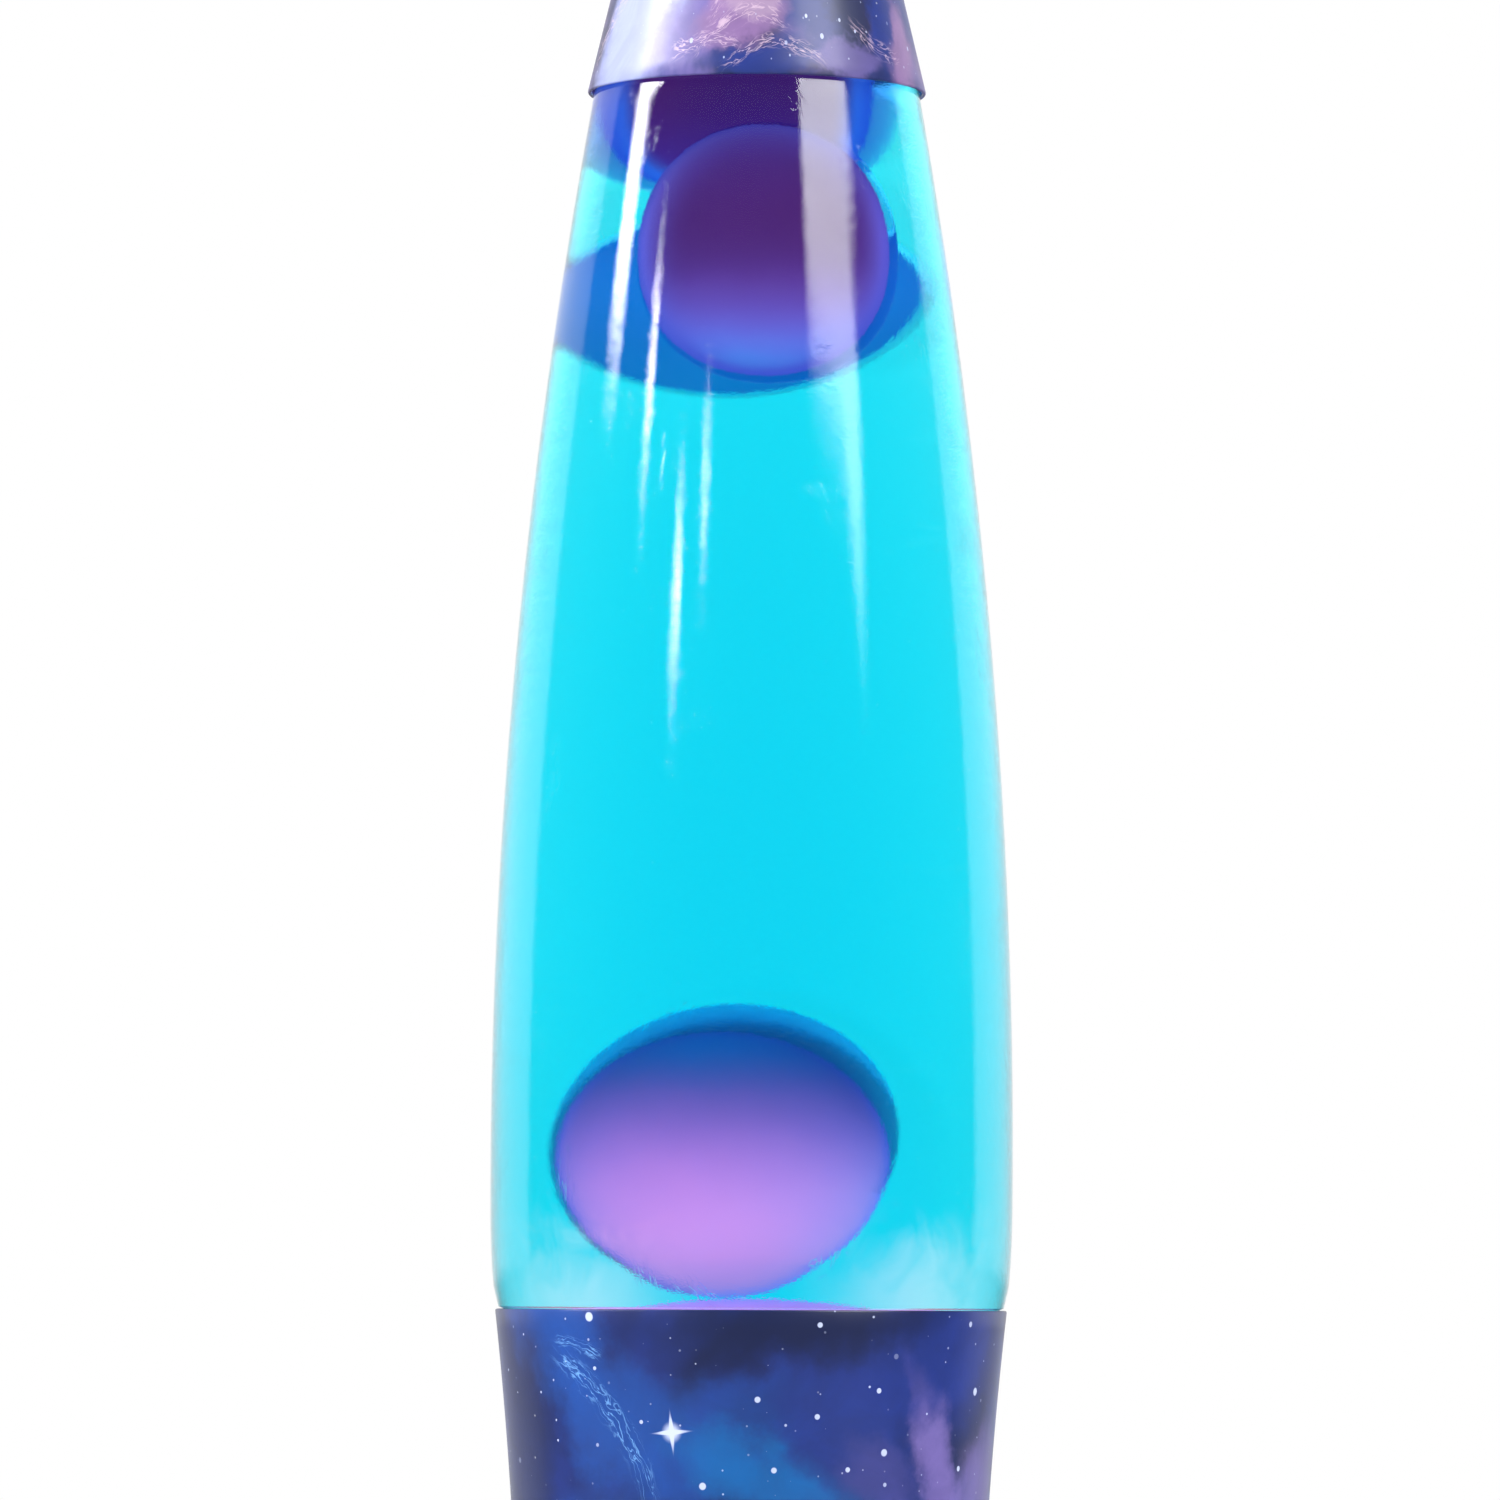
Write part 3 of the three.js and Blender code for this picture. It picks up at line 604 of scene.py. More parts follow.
# Bundles of fine strokes along a bow: middle, half length, turn in degrees, bow, half width.
baseStrokes = [(-21.5, -15.5, 16, -52, -0.012, 1.5), (-27, -5, 5, -20, -0.05, 0.8),
               (58, -30, 22, 40, 0.01, 1.6), (-75, -20, 20, -30, 0.012, 1.4),
               (100, -55, 26, 25, -0.008, 1.8), (0, -80, 26, 18, 0.008, 1.8)]
capStrokes = [(3.5, 5.0, 13, 2, -0.026, 1.1), (-3, 13.5, 10, 6, -0.05, 1.0), (30, 5, 9, -18, 0.02, 1.1),
              (-4, 9.0, 12, 10, -0.03, 1.3), (-12, 5.5, 9, 4, -0.02, 1.0), (-40, 12, 16, 30, -0.01, 1.3),
              (60, 16, 18, -16, -0.012, 1.3), (-76, 8, 16, 8, 0.012, 1.2)]
baseStars = [(-24.5, -1.1, 0.72), (9.8, -2.1, 0.42), (1.0, -12.7, 0.47), (9.8, -15.1, 0.43),
             (20.8, -20.2, 0.56), (-7.1, -25.0, 0.56), (19.4, -11.4, 0.42), (3.5, -22.7, 0.45),
             (14.8, -22.6, 0.4), (40.5, -11.6, 0.62)]
capStars = [(11.5, 8.8, 0.35), (-9.0, 26.0, 0.4), (20.0, 8.5, 0.32), (24.0, 7.0, 0.28), (16.0, 31.0, 0.45)]
glint = {"place": (-11.7, -17.4), "reach": 3.7, "width": 0.5, "core": 0.8}


def makeSky(name, start, clouds, strokes, stars, bright, glinting):
    group, inputs, outputs = newGroup(name, [("Place", "Vector", None)],
                                      [("Color", "Color"), ("Star", "Float")])
    place = inputs["Place"]
    parts = split(group, place)
    turn = calc(group, "ARCTAN2", parts[0], times(group, parts[1], -1))
    around = times(group, turn, sky["unrollRadius"] * 1000)
    up = times(group, minus(group, parts[2], start), 1000)
    stir = addNode(group, "ShaderNodeTexNoise",
                   {"Vector": place, "Scale": 75, "Detail": 5, "Roughness": 0.62})
    push = addNode(group, "ShaderNodeVectorMath", {0: stir.outputs["Color"], 1: (0.5, 0.5, 0.5)},
                   operation="SUBTRACT")
    pushed = split(group, push.outputs[0])
    cloudAround = calc(group, "MULTIPLY_ADD", pushed[0], sky["push"], around)
    cloudUp = calc(group, "MULTIPLY_ADD", pushed[2], sky["push"], up)

    def local(a, b, middle, degrees):        # a place along and across a direction
        c, s = math.cos(math.radians(degrees)), math.sin(math.radians(degrees))
        x = minus(group, a, middle[0])
        y = minus(group, b, middle[1])
        along = calc(group, "ADD", times(group, x, c), times(group, y, s))
        across = minus(group, times(group, y, c), times(group, x, s))
        return along, across

    tone = ramp(group, noiseOf(group, place, 26, 3, 0.5, 0.6), 0.38, 0.66)
    color = mixColor(group, tone, sky["navy"], sky["royal"])
    if bright:
        paler = ramp(group, noiseOf(group, place, 34, 4, 0.55, 0.8), 0.4, 0.62)
        color = mixColor(group, paler, color, sky["lavender"])
    drift = addNode(group, "ShaderNodeMapping", {"Vector": place, "Location": (0.2, 0.1, 0.3)}).outputs[0]
    veil = ramp(group, noiseOf(group, drift, 30, 6, 0.58, 0.9), 0.5, 0.72, (0.0, 0.8))
    color = mixColor(group, veil, color, sky["mauve" if bright else "royal"])
    for tint, spot, edge in (("blue", 3.0, 0.5), ("lavender", 7.0, 0.57), ("teal", 11.0, 0.6)):
        moved = addNode(group, "ShaderNodeMapping", {"Vector": place, "Location": (spot, spot, 0)}).outputs[0]
        band = ramp(group, noiseOf(group, moved, 22, 6, 0.6, 1.0), edge, edge + 0.16, (0.0, 0.85))
        below = ramp(group, up, -34, -22, (1.0, 0.0))
        side = ramp(group, calc(group, "ABSOLUTE", around), 44, 56)
        color = mixColor(group, times(group, band, calc(group, "MAXIMUM", below, side)), color, sky[tint])
    for x, y, length, width, degrees, tint, strength in clouds:
        along, across = local(cloudAround, cloudUp, (x, y), degrees)
        reach = calc(group, "ADD", calc(group, "POWER", calc(group, "DIVIDE", along, length), 2),
                     calc(group, "POWER", calc(group, "DIVIDE", across, width), 2))
        mask = ramp(group, reach, 0.25 if bright else 0.0, 1.3 if bright else 1.6, (strength, 0.0))
        color = mixColor(group, mask, color, sky[tint])
    puff = noiseOf(group, drift, 90, 7, 0.62, 1.2)
    color = mixColor(group, ramp(group, puff, 0.35, 0.75, (0.22, 0.0)), color, sky["navy"])

    for x, y, length, degrees, bow, width in strokes:
        along, across = local(around, up, (x, y), degrees)
        off = minus(group, across, times(group, times(group, along, along), bow))
        off = calc(group, "MULTIPLY_ADD", pushed[1], sky["strokePush"], off)
        grain = addNode(group, "ShaderNodeCombineXYZ", {0: times(group, off, 0.85),
                                                        1: times(group, along, 0.13), 2: x * 0.37}).outputs[0]
        hair = calc(group, "ABSOLUTE", minus(group, noiseOf(group, grain, 1.25, 2, 0.5, 1.3), 0.5))
        line = ramp(group, hair, 0.0, 0.045, (1.0, 0.0))
        band = ramp(group, calc(group, "ABSOLUTE", off), width * 0.3, width * 1.6, (1.0, 0.0))
        ends = ramp(group, calc(group, "ABSOLUTE", along), length * 0.6, length, (0.8, 0.0))
        wisp = times(group, times(group, line, band), ends)
        color = mixColor(group, wisp, color, sky["cream" if bright else "wisp"])

    flat = addNode(group, "ShaderNodeCombineXYZ", {0: around, 1: up}).outputs[0]
    star = 0.0
    for cell, biggest, chance in ((7.5, 0.42, 0.45), (3.6, 0.17, 0.6)):
        cells = addNode(group, "ShaderNodeTexVoronoi", {"Vector": flat, "Scale": 1 / cell},
                        voronoi_dimensions="2D")
        pick = addNode(group, "ShaderNodeSeparateColor", {0: cells.outputs["Color"]}).outputs
        size = ramp(group, pick[0], chance, 1.0, (0.0, biggest / cell), False)
        dot = ramp(group, minus(group, cells.outputs["Distance"], size), -0.004, 0.05 / cell, (1.0, 0.0))
        dot = times(group, dot, calc(group, "GREATER_THAN", pick[0], chance))
        dot = times(group, dot, ramp(group, pick[1], 0.0, 1.0, (0.12, 0.9), False))
        star = calc(group, "MAXIMUM", star, dot)
    seam = ramp(group, calc(group, "ABSOLUTE", turn), 3.1, 3.12, (1.0, 0.0))
    star = times(group, star, seam)
    for x, y, radius in stars:
        gap = addNode(group, "ShaderNodeVectorMath", {0: flat, 1: (x, y, 0)},
                      operation="DISTANCE").outputs["Value"]
        star = calc(group, "MAXIMUM", star, ramp(group, gap, radius * 0.75, radius * 1.05, (0.9, 0.0)))
    if glinting:
        arms = [calc(group, "ABSOLUTE", side) for side in local(around, up, glint["place"], 4)]
        for a, b in (arms, arms[::-1]):
            taper = ramp(group, a, 0, glint["reach"], (glint["width"], 0.0), False)
            half = times(group, taper, ramp(group, a, 0, glint["reach"], (1.0, 0.4)))
            arm = ramp(group, minus(group, b, half), -0.08, 0.1, (1.0, 0.0))
            fade = ramp(group, a, glint["reach"] * 0.3, glint["reach"], (1.0, 0.0))
            star = calc(group, "MAXIMUM", star, times(group, arm, fade))
        squares = [calc(group, "POWER", side, 2) for side in arms]
        core = calc(group, "SQRT", calc(group, "ADD", *squares))
        star = calc(group, "MAXIMUM", star, ramp(group, core, 0.35, glint["core"] * 2.2, (1.0, 0.0)))
    group.links.new(mixColor(group, star, color, sky["star"]), outputs["Color"])
    group.links.new(star, outputs["Star"])
    return group


def makePrintMaterial(name, group, dull):
    material, tree, shader = newMaterial(name, {"Metallic": 0.0, "Roughness": 0.34, "Coat Weight": 0.15,
                                                "Coat Roughness": 0.2, "IOR": 1.45})
    place = objectPlace(tree)
    printed = useGroup(tree, group, {"Place": place})
    marks = useGroup(tree, wear, {"Place": place, "Scale": 1.0})
    dusty = times(tree, marks["Dust"], 0.3)
    feed(tree, shader, "Base Color", mixColor(tree, dusty, printed["Color"], (0.7, 0.72, 0.8, 1)))
    rough = calc(tree, "MULTIPLY_ADD", marks["Uneven"], 0.14, dull)
    feed(tree, shader, "Roughness", calc(tree, "MULTIPLY_ADD", marks["Scratch"], 0.12, rough))
    addBump(tree, shader, noiseOf(tree, place, 1400, 2), 0.06, 0.0001)
    return material


# Finishes of the plain pieces: colour, a second colour in patches, metal, roughness, bump scale and strength.
finishes = {
    "steel": {"colors": ((176, 179, 184), (150, 153, 160)), "metal": 1.0, "rough": 0.3, "bump": (700, 0.05)},
    "brass": {"colors": ((208, 170, 98), (168, 128, 66)), "metal": 1.0, "rough": 0.28, "bump": (500, 0.05)},
    "ceramic": {"colors": ((236, 232, 222), (222, 214, 198)), "metal": 0.0, "rough": 0.32,
                "bump": (400, 0.1)},
    "plastic": {"colors": ((26, 27, 30), (38, 39, 43)), "metal": 0.0, "rough": 0.42, "bump": (1500, 0.15)},
    "rubber": {"colors": ((30, 30, 32), (48, 48, 50)), "metal": 0.0, "rough": 0.8, "bump": (1800, 0.3)},
    "tungsten": {"colors": ((150, 146, 140), (120, 116, 110)), "metal": 1.0, "rough": 0.4,
                 "bump": (900, 0.1)},
    "liner": {"colors": ((218, 214, 200), (202, 196, 178)), "metal": 0.0, "rough": 0.6, "bump": (900, 0.1)},
    "lacquer": {"colors": ((196, 199, 206), (172, 176, 186)), "metal": 0.7, "rough": 0.36,
                "bump": (800, 0.08)},
}


def makeFinish(name):
    plan = finishes[name]
    material, tree, shader = newMaterial(name, {"Metallic": plan["metal"], "Roughness": plan["rough"]})
    place = objectPlace(tree)
    marks = useGroup(tree, wear, {"Place": place, "Scale": 1.6})
    patches = ramp(tree, marks["Uneven"], 0.35, 0.7)
    color = mixColor(tree, patches, *[linear(*shade) for shade in plan["colors"]])
    color = mixColor(tree, times(tree, marks["Scratch"], 0.25), color, (0.85, 0.85, 0.85, 1))
    dusty = times(tree, marks["Dust"], 0.5)
    feed(tree, shader, "Base Color", mixColor(tree, dusty, color, (0.6, 0.6, 0.58, 1)))
    feed(tree, shader, "Roughness", calc(tree, "MULTIPLY_ADD", marks["Uneven"], 0.25, plan["rough"] - 0.1))
    scale, strength = plan["bump"]
    grain = calc(tree, "MULTIPLY_ADD", marks["Scratch"], -0.4, noiseOf(tree, place, scale, 3))
    addBump(tree, shader, grain, strength, 0.0003)
    return material


finish = {name: makeFinish(name) for name in finishes}
baseSky = makeSky("baseSky", rimZ, baseClouds, baseStrokes, baseStars, False, True)
capSky = makeSky("capSky", capRimZ, capClouds, capStrokes, capStars, True, False)
basePrint = makePrintMaterial("basePrint", baseSky, 0.27)
capPrint = makePrintMaterial("capPrint", capSky, 0.36)
print("finishes made")

shell = {"foot": 0.044, "waist": 0.03335, "rim": 0.0372, "hem": 0.002, "waistZ": 0.074, "wall": 0.0007,
         "lip": 0.0024, "outletZ": 0.012, "outletRadius": 0.0049}


def shellRadius(z):                          # outer radius: two half parabolas that meet at the waist
    end, radius = (rimZ, shell["rim"]) if z > shell["waistZ"] else (shell["hem"], shell["foot"])
    return blend(shell["waist"], radius, ((z - shell["waistZ"]) / (end - shell["waistZ"])) ** 2)


def subtract(piece, shape):                  # cuts a closed shape out of a piece
    mesh = bpy.data.meshes.new("cutter")
    shape.to_mesh(mesh)
    shape.free()
    cutter = bpy.data.objects.new("cutter", mesh)
    scene.collection.objects.link(cutter)
    cut = piece.modifiers.new("cut", "BOOLEAN")
    cut.operation = "DIFFERENCE"
    cut.solver = "EXACT"
    cut.object = cutter
    result = bpy.data.meshes.new_from_object(piece.evaluated_get(bpy.context.evaluated_depsgraph_get()))
    piece.modifiers.remove(cut)
    piece.data = result
    bpy.data.objects.remove(cutter)


def cutHole(piece, radius, middle, length, turn=None):
    shape = bmesh.new()
    bmesh.ops.create_cone(shape, cap_ends=True, segments=64, radius1=radius, radius2=radius, depth=length)
    if turn:
        bmesh.ops.rotate(shape, verts=shape.verts, matrix=turn)
    bmesh.ops.translate(shape, verts=shape.verts, vec=middle)
    subtract(piece, shape)


def looksInward(face):                       # towards the lamp's axis
    middle = face.calc_center_median()
    return face.normal.x * middle.x + face.normal.y * middle.y < -0.2 * middle.xy.length


def makeBaseShell():
    wall, lip, edge = shell["wall"], shell["lip"], 0.0003
    heights = [blend(shell["hem"] + edge, rimZ - edge, t) for t in even(56)]
    outer = [(shellRadius(z), z) for z in heights]
    inner = [(shellRadius(z) - wall, z) for z in reversed(heights[1:])]
    rim = [(shell["rim"] - edge * 0.3, rimZ - edge * 0.3), (shell["rim"] - wall / 2, rimZ),
           (shell["rim"] - wall + edge * 0.3, rimZ - edge * 0.3)]
    hem = [(shell["foot"] - wall - edge, shell["hem"] + wall), (shell["foot"] - lip, shell["hem"] + wall),
           (shell["foot"] - lip, shell["hem"]), (shell["foot"] - edge, shell["hem"])]
    shape = spun(outer + rim + inner + hem, 160, True)
    for face in shape.faces:
        if looksInward(face) and face.calc_center_median().z > 0.004:
            face.material_index = 1
    piece = makePiece("baseShell", shape, "base", [basePrint, finish["lacquer"]],
                      ["base_shell"], 50)
    cutHole(piece, shell["outletRadius"], (0, shell["foot"], shell["outletZ"]), 0.02,
            Matrix.Rotation(math.pi / 2, 3, "X"))
    return piece


cap = {"rim": 0.0248, "slope": 0.24, "wall": 0.0006, "round": 0.0016}


def makeCap():
    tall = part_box("cap")[1][2] - capRimZ
    wall = cap["wall"]

    def side(h, inset):
        return (cap["rim"] - cap["slope"] * h - inset, h)

    top = cap["rim"] - cap["slope"] * tall
    hem = [side(0, wall * 0.8), side(0, wall * 0.35), side(0.00012, 0.00008), side(0.0003, 0)]
    outer = [side(blend(0.0003, tall - cap["round"], t), 0) for t in even(24)][1:]
    crest = bend(outer[-1], side(tall, 0), (top - 0.002, tall), 8)[1:] + [(0, tall)]
    under = [(0, tall - wall), (top - 0.0022, tall - wall)]
    inner = [side(blend(tall - 0.002, 0.0006, t), wall) for t in even(24)] + [side(0.0003, wall * 1.15)]
    shape = spun(raised(hem + outer + crest + under + inner + [hem[0]], capRimZ), 128)
    for face in shape.faces:
        ceiling = face.normal.z < -0.7 and face.calc_center_median().z > capRimZ + 0.01
        if looksInward(face) or ceiling:
            face.material_index = 1
    return makePiece("conicalCap", shape, "cap", [capPrint, finish["lacquer"]], ["cap"], 50)


makeBaseShell()
makeCap()
print("base shell and cap made")

crown = {"teeth": 21, "ripple": 0.00045}


def makeCrown():
    side = [(0, 0.206), (0.0138, 0.206), (0.0145, 0.2056), (0.0145, 0.2012), (0.0152, 0.1998),
            (0.01575, 0.1996), (0.0158, 0.1999), (0.01535, 0.2008), (0.0151, 0.2022), (0.0151, 0.2054),
            (0.0148, 0.2061), (0.0141, 0.2066), (0.004, 0.2066), (0, 0.20655)]
    shape = spun(raised(side), crown["teeth"] * 8)
    for vert in shape.verts:                 # the crimps deepen towards the skirt's edge
        deep = max(0.0, (rimZ + 0.2045 - vert.co.z) / 0.005)
        wave = math.cos(math.atan2(vert.co.y, vert.co.x) * crown["teeth"]) - 1
        reach = vert.co.xy.length
        if reach > 0.0144:
            vert.co.xy *= 1 + crown["ripple"] * wave * min(deep, 1.0) * 0.5 / reach
    return makePiece("crownClosure", shape, "bottle", [finish["steel"]], ["crown_cap"], 50)


# Plain turned pieces: (radius, height) outlines in millimetres, on the lamp's axis.
turnedPieces = {
    "sealingDisc": {
        "node": "crown_liner", "body": "bottle", "slot": "liner", "finish": "liner",
        "outline": [
            (0, 347.3), (12.5, 347.3), (12.8, 347.4), (12.8, 347.6), (12.5, 347.7), (0, 347.7)]},
    "bottleRest": {
        "node": "bottle_seat", "body": "base", "slot": "plain_steel", "finish": "steel", "closed": True,
        "outline": [
            (21.0, 112.8), (21.2, 112.5), (31.6, 112.5), (32.5, 112.1), (32.9, 111.2), (32.9, 106.9),
            (33.1, 106.75), (33.6, 106.75), (33.85, 106.9), (33.9, 111.6), (33.5, 113.0), (32.4, 113.68),
            (23.5, 113.68), (22.6, 113.5), (21.3, 113.6), (21.0, 113.3)]},
    "lampSocket": {
        "node": "lamp_socket", "body": "base", "slot": "socket_ceramic", "finish": "ceramic", "closed": True,
        "outline": [
            (2.6, 14.7), (2.8, 14.5), (4.6, 14.5), (4.9, 14.8), (4.9, 21.5), (12.5, 21.5), (13, 22),
            (13, 28.0), (12.7, 28.6), (11.9, 29.2), (11.8, 30), (11.8, 34), (11.4, 34.4), (11.4, 35.2),
            (11.8, 35.6), (11.8, 45.5), (11.5, 47), (10.9, 48.6), (10.2, 49), (8.6, 49), (8.2, 48.6),
            (8.2, 27.8), (7.9, 27.5), (2.6, 27.5)]},
    "bulbInsulator": {
        "node": "bulb_insulator", "body": "bulb", "slot": "black_plastic", "finish": "plastic",
        "outline": [
            (0, 33.2), (2.7, 33.2), (3.1, 33.4), (4.8, 35.7), (5, 36.3), (5, 38.2), (4.8, 38.4), (0, 38.4)]},
    "bulbContact": {
        "node": "bulb_contact", "body": "bulb", "slot": "brass", "finish": "brass",
        "outline": [
            (0, 31.6), (0.8, 31.65), (1.6, 31.85), (2.3, 32.2), (2.6, 32.5), (2.6, 32.8), (2.4, 32.9),
            (0, 32.9)]},
    "filamentStem": {
        "node": "filament_stem", "body": "bulb", "slot": "bulb_glass", "finish": "bulb",
        "outline": [
            (0, 44.5), (4.5, 44.5), (4.6, 44.8), (4.3, 46), (2.9, 47.6), (2.1, 49.4), (1.8, 54), (1.7, 60),
            (2.0, 61.2), (2.35, 62), (2.2, 62.9), (1.5, 63.5), (0, 63.5)]},
}


def makeTurned(name, plan):
    outline = [(r / 1000, z / 1000) for r, z in plan["outline"]]
    shape = spun(outline, 96, plan.get("closed", False))
    return makePiece(name, shape, plan["body"], [finish[plan["finish"]]], [plan["node"]], 40)


def makeBulbGlassMaterial():
    material, tree, shader = newMaterial("bulbGlass", {
        "Base Color": (0.97, 0.97, 0.96, 1), "Roughness": 0.12, "IOR": 1.48, "Transmission Weight": 1.0})
    marks = useGroup(tree, wear, {"Place": objectPlace(tree), "Scale": 1.2})
    frost = calc(tree, "MULTIPLY_ADD", marks["Uneven"], 0.25, 0.05)
    tree.links.new(frost, shader.inputs["Roughness"])
    return material


finish["bulb"] = makeBulbGlassMaterial()
for name, plan in turnedPieces.items():
    makeTurned(name, plan)
makeCrown()

thread = {"pitch": 2.82, "depth": 0.00028}


def threadIt(shape, low, high, sign=1):      # rolls a right-hand thread into a tube between two heights
    for vert in shape.verts:
        if low < vert.co.z < high:
            angle = math.atan2(vert.co.y, vert.co.x) / (2 * math.pi)
            wave = math.cos(2 * math.pi * (vert.co.z * 1000 / thread["pitch"] - angle))
            fade = min(1.0, (vert.co.z - low) / 0.001, (high - vert.co.z) / 0.001)
            vert.co.xy *= 1 + thread["depth"] * (wave - 1) / 2 * fade / vert.co.xy.length


def makeScrewCap():
    wall = 0.0003
    heights = [blend(0.0382, 0.0498, t) for t in even(48)]
    outline = [(0.0054, 0.0364), (0.0061, 0.0362), (0.0067, 0.0369)] + [(0.0069, z) for z in heights]
    outline += [(0.0069, 0.0503), (0.00675, 0.0513), (0.0069, 0.0517), (0.0069, 0.0533), (0.0067, 0.0535),
                (0.0064, 0.0533)]
    outline += [(0.0064, 0.0508)] + [(0.0069 - wall, z) for z in reversed(heights)]
    outline += [(0.0063, 0.0372), (0.0054, 0.0371)]
    shape = spun(outline, 96, True)
    threadIt(shape, 0.0384, 0.0497)
    return makePiece("bulbScrewCap", shape, "bulb", [finish["brass"]], ["bulb_screw_cap"], 50)


def makeSleeve():
    heights = [blend(0.0342, 0.0473, t) for t in even(52)]
    outline = [(0.0074, 0.034), (0.0078, 0.034)] + [(0.00785, z) for z in heights]
    outline += [(0.0078, 0.0475), (0.0076, 0.0475)] + [(0.00755, z) for z in reversed(heights)]
    shape = spun(outline, 96, True)
    threadIt(shape, 0.0345, 0.0470)
    return makePiece("socketSleeve", shape, "base", [finish["brass"]], ["socket_sleeve"], 50)


def bulbOutline(inset):
    side = bend((0.0061, 0.054), (0.0082, 0.066), (0.0176, 0.077), 14)
    belly = bend(side[-1], (0.0193, 0.0792), (0.0195, 0.086), 8)[1:]
    crest = bend((0.0195, 0.086), (0.0189, 0.093), (0.011, 0.0958), 12)[1:]
    top = bend(crest[-1], (0.006, 0.097), (0, 0.097), 8)[1:]
    points = [(0.0061, 0.0432), (0.0061, 0.0485)] + side + belly + crest + top
    return [(max(r - inset, 0), z - inset * min(1, max(0, (z - 0.088) / 0.008))) for r, z in points]


def makeBulb():
    outline = bulbOutline(0) + list(reversed(bulbOutline(0.0008)))
    return makePiece("bulbEnvelope", spun(outline, 112, True), "bulb", [finish["bulb"]],
                     ["bulb_glass"], 60)


def wirePiece(name, points, radius, body, material, node, closed=False):
    curve = bpy.data.curves.new(name, "CURVE")
    curve.dimensions = "3D"
    curve.bevel_depth = radius
    curve.bevel_resolution = 2
    curve.use_fill_caps = True
    line = curve.splines.new("POLY")
    line.points.add(len(points) - 1)
    line.use_cyclic_u = closed
    for spot, place in zip(line.points, points):
        spot.co = (*place, 1)
    holder = bpy.data.objects.new(name, curve)
    scene.collection.objects.link(holder)
    mesh = bpy.data.meshes.new_from_object(holder.evaluated_get(bpy.context.evaluated_depsgraph_get()))
    bpy.data.objects.remove(holder)
    shape = bmesh.new()
    shape.from_mesh(mesh)
    return makePiece(name, shape, body, [material], [node], 60)


def bendSide(a, b):                          # two places on the way from a to b
    return [tuple(blend(a[k], b[k], t) for k in range(3)) for t in (0.35, 0.7)]


def makeFilament():
    arc = {"radius": 0.006, "middle": 0.074, "rise": 0.6, "turns": 46, "coil": 0.00034, "wire": 0.00012}
    points = [(-0.0011, 0, 0.0638), (-0.0018, 0, 0.0655), (-0.0026, 0, 0.0675)]
    points += bendSide(points[-1], (-arc["radius"], 0, arc["middle"]))
    count = arc["turns"] * 8
    for i in range(count + 1):
        turn = math.pi * (1 - i / count)
        twist = 2 * math.pi * arc["turns"] * i / count
        reach = arc["radius"] + arc["coil"] * math.cos(twist)
        points.append((reach * math.cos(turn), arc["coil"] * math.sin(twist),
                       arc["middle"] + reach * math.sin(turn) * arc["rise"]))
    points += [(-x, y, z) for x, y, z in reversed(points[:len(points) - count - 1])]
    metal = linear(*finishes["tungsten"]["colors"][0])
    material, tree, shader = newMaterial("hotTungsten", {
        "Base Color": metal, "Metallic": 1.0, "Roughness": 0.4, "Emission Strength": 12.0})
    heat = ramp(tree, noiseOf(tree, objectPlace(tree), 500, 2), 0.3, 0.7)
    feed(tree, shader, "Emission Color", mixColor(tree, heat, (0.8, 0.36, 0.12, 1), (1.0, 0.56, 0.24, 1)))
    return wirePiece("filamentWire", points, arc["wire"], "bulb", material, "filament")


def makeHeatCoil():
    low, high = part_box("heat_coil")
    plan = {"radius": 0.02, "turns": 34, "wire": 0.0005}
    coilRadius = (high[2] - low[2]) / 2 - plan["wire"] - 0.00005
    middle = (low[2] + high[2]) / 2
    count = plan["turns"] * 14
    points = []
    for i in range(count):
        turn = 2 * math.pi * i / count
        twist = 2 * math.pi * plan["turns"] * i / count
        reach = plan["radius"] + coilRadius * math.cos(twist)
        points.append((reach * math.cos(turn), reach * math.sin(turn), middle + coilRadius * math.sin(twist)))
    return wirePiece("heatCoil", points, plan["wire"], "bottle", finish["steel"], "heat_coil",
                     True)


makeScrewCap()
makeSleeve()
makeBulb()
makeFilament()
makeHeatCoil()
print("bulb, socket and coil made")

plate = {"radius": 0.0425, "low": 0.003, "high": 0.0042, "vents": 6, "circle": 0.013, "vent": 0.003,
         "screwX": 0.024}


def makePlate():
    low, high, radius = plate["low"], plate["high"], plate["radius"]
    outline = [(0, low), (0.0295, low), (0.0302, low + 0.0003), (0.0309, low), (radius - 0.0003, low),
               (radius, low + 0.0003), (radius, high - 0.0003), (radius - 0.0003, high), (0.0309, high),
               (0.0302, high - 0.0003), (0.0295, high), (0, high)]
    piece = makePiece("bottomPlate", spun(outline, 128), "base", [finish["steel"]],
                      ["bottom_plate"], 30)
    holes = []
    for i in range(plate["vents"]):
        turn = 2 * math.pi * i / plate["vents"]
        holes.append((plate["circle"] * math.cos(turn), plate["circle"] * math.sin(turn), plate["vent"]))
    holes += [(side * plate["screwX"], 0, 0.0018) for side in (-1, 1)]
    for x, y, size in holes:
        cutHole(piece, size, (x, y, low), 0.01)
    return piece


def makeFoot(number, middle):
    outline = [(0, 0.0004), (0.0022, 0.0004), (0.0026, 0), (0.0045, 0), (0.0049, 0.0002), (0.005, 0.0006),
               (0.005, 0.0025), (0.0048, 0.0027), (0, 0.0027)]
    shape = spun(outline, 64)
    bmesh.ops.translate(shape, verts=shape.verts, vec=middle)
    return makePiece(f"rubberFoot{number}", shape, "base", [finish["rubber"]],
                     [f"rubber_foot_{number}"], 40)


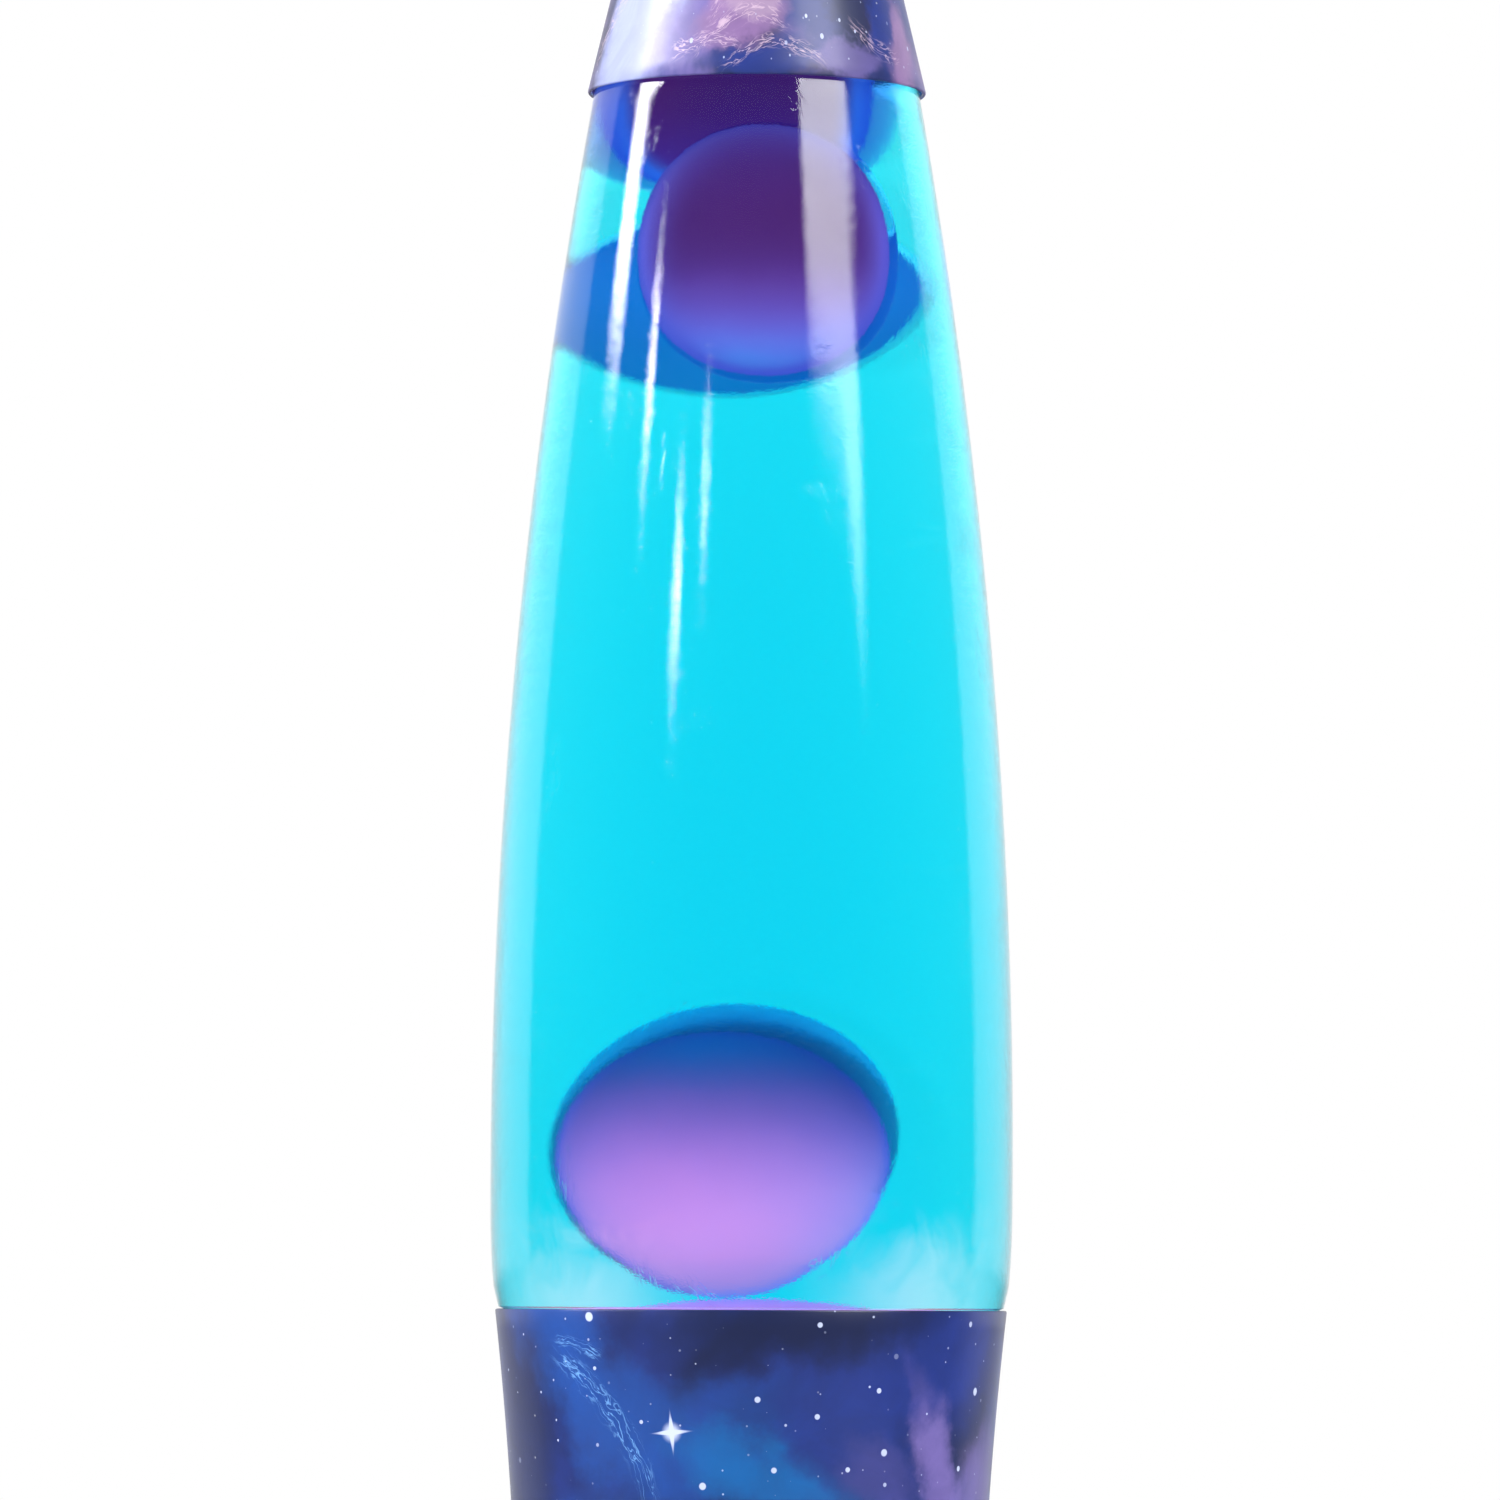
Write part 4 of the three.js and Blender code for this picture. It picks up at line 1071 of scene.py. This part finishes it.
def cutSlot(piece, middle):                  # the slot across a screw's head
    shape = bmesh.new()
    bmesh.ops.create_cube(shape, size=1)
    bmesh.ops.scale(shape, verts=shape.verts, vec=(0.0008, 0.007, 0.0014))
    bmesh.ops.translate(shape, verts=shape.verts, vec=(middle[0], middle[1], middle[2] - 0.0017))
    subtract(piece, shape)


def makeScrew(number, middle):
    outline = [(0, -0.0012), (0.0006, -0.0014), (0.0021, -0.0017), (0.0026, -0.0012), (0.0029, -0.0006),
               (0.0029, -0.0003), (0.0015, -0.0003)]
    outline += [(0.0015 - 0.00018 * (i % 2), blend(0.0002, 0.0058, i / 20)) for i in range(21)]
    outline += [(0.0013, 0.006), (0, 0.006)]
    shape = spun(outline, 48)
    bmesh.ops.translate(shape, verts=shape.verts, vec=middle)
    piece = makePiece(f"bracketScrew{number}", shape, "base", [finish["steel"]],
                      [f"bracket_screw_{number}"], 40)
    cutSlot(piece, middle)
    return piece


def makeNut():
    low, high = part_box("socket_nut")
    shape = bmesh.new()
    bmesh.ops.create_cone(shape, cap_ends=True, segments=6, radius1=0.008, radius2=0.008,
                          depth=high[2] - low[2])
    bmesh.ops.rotate(shape, verts=shape.verts, matrix=Matrix.Rotation(math.radians(30), 3, "Z"))
    bmesh.ops.bevel(shape, geom=shape.edges, affect="EDGES", offset=0.0003, segments=2, profile=0.5,
                    material=-1)
    bmesh.ops.translate(shape, verts=shape.verts, vec=(0, 0, (low[2] + high[2]) / 2))
    piece = makePiece("socketNut", shape, "base", [finish["steel"]], ["socket_nut"], 40)
    cutHole(piece, 0.0052, (0, 0, (low[2] + high[2]) / 2), 0.01)
    return piece


makePlate()
for i in range(4):
    low, high = [Vector(corner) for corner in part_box(f"rubber_foot_{i + 1}")]
    makeFoot(i + 1, ((low.x + high.x) / 2, (low.y + high.y) / 2, 0))
for i, side in enumerate((-1, 1)):
    makeScrew(i + 1, (side * plate["screwX"], 0, plate["low"]))
makeNut()

# The bracket, the contact spring and the outlet bush keep their CAD shape.
for node, name in (("socket_bracket", "steel"), ("socket_contact", "brass"), ("cord_grommet", "plastic")):
    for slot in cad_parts[node].material_slots:
        slot.material = finish[name]
print("small pieces made")
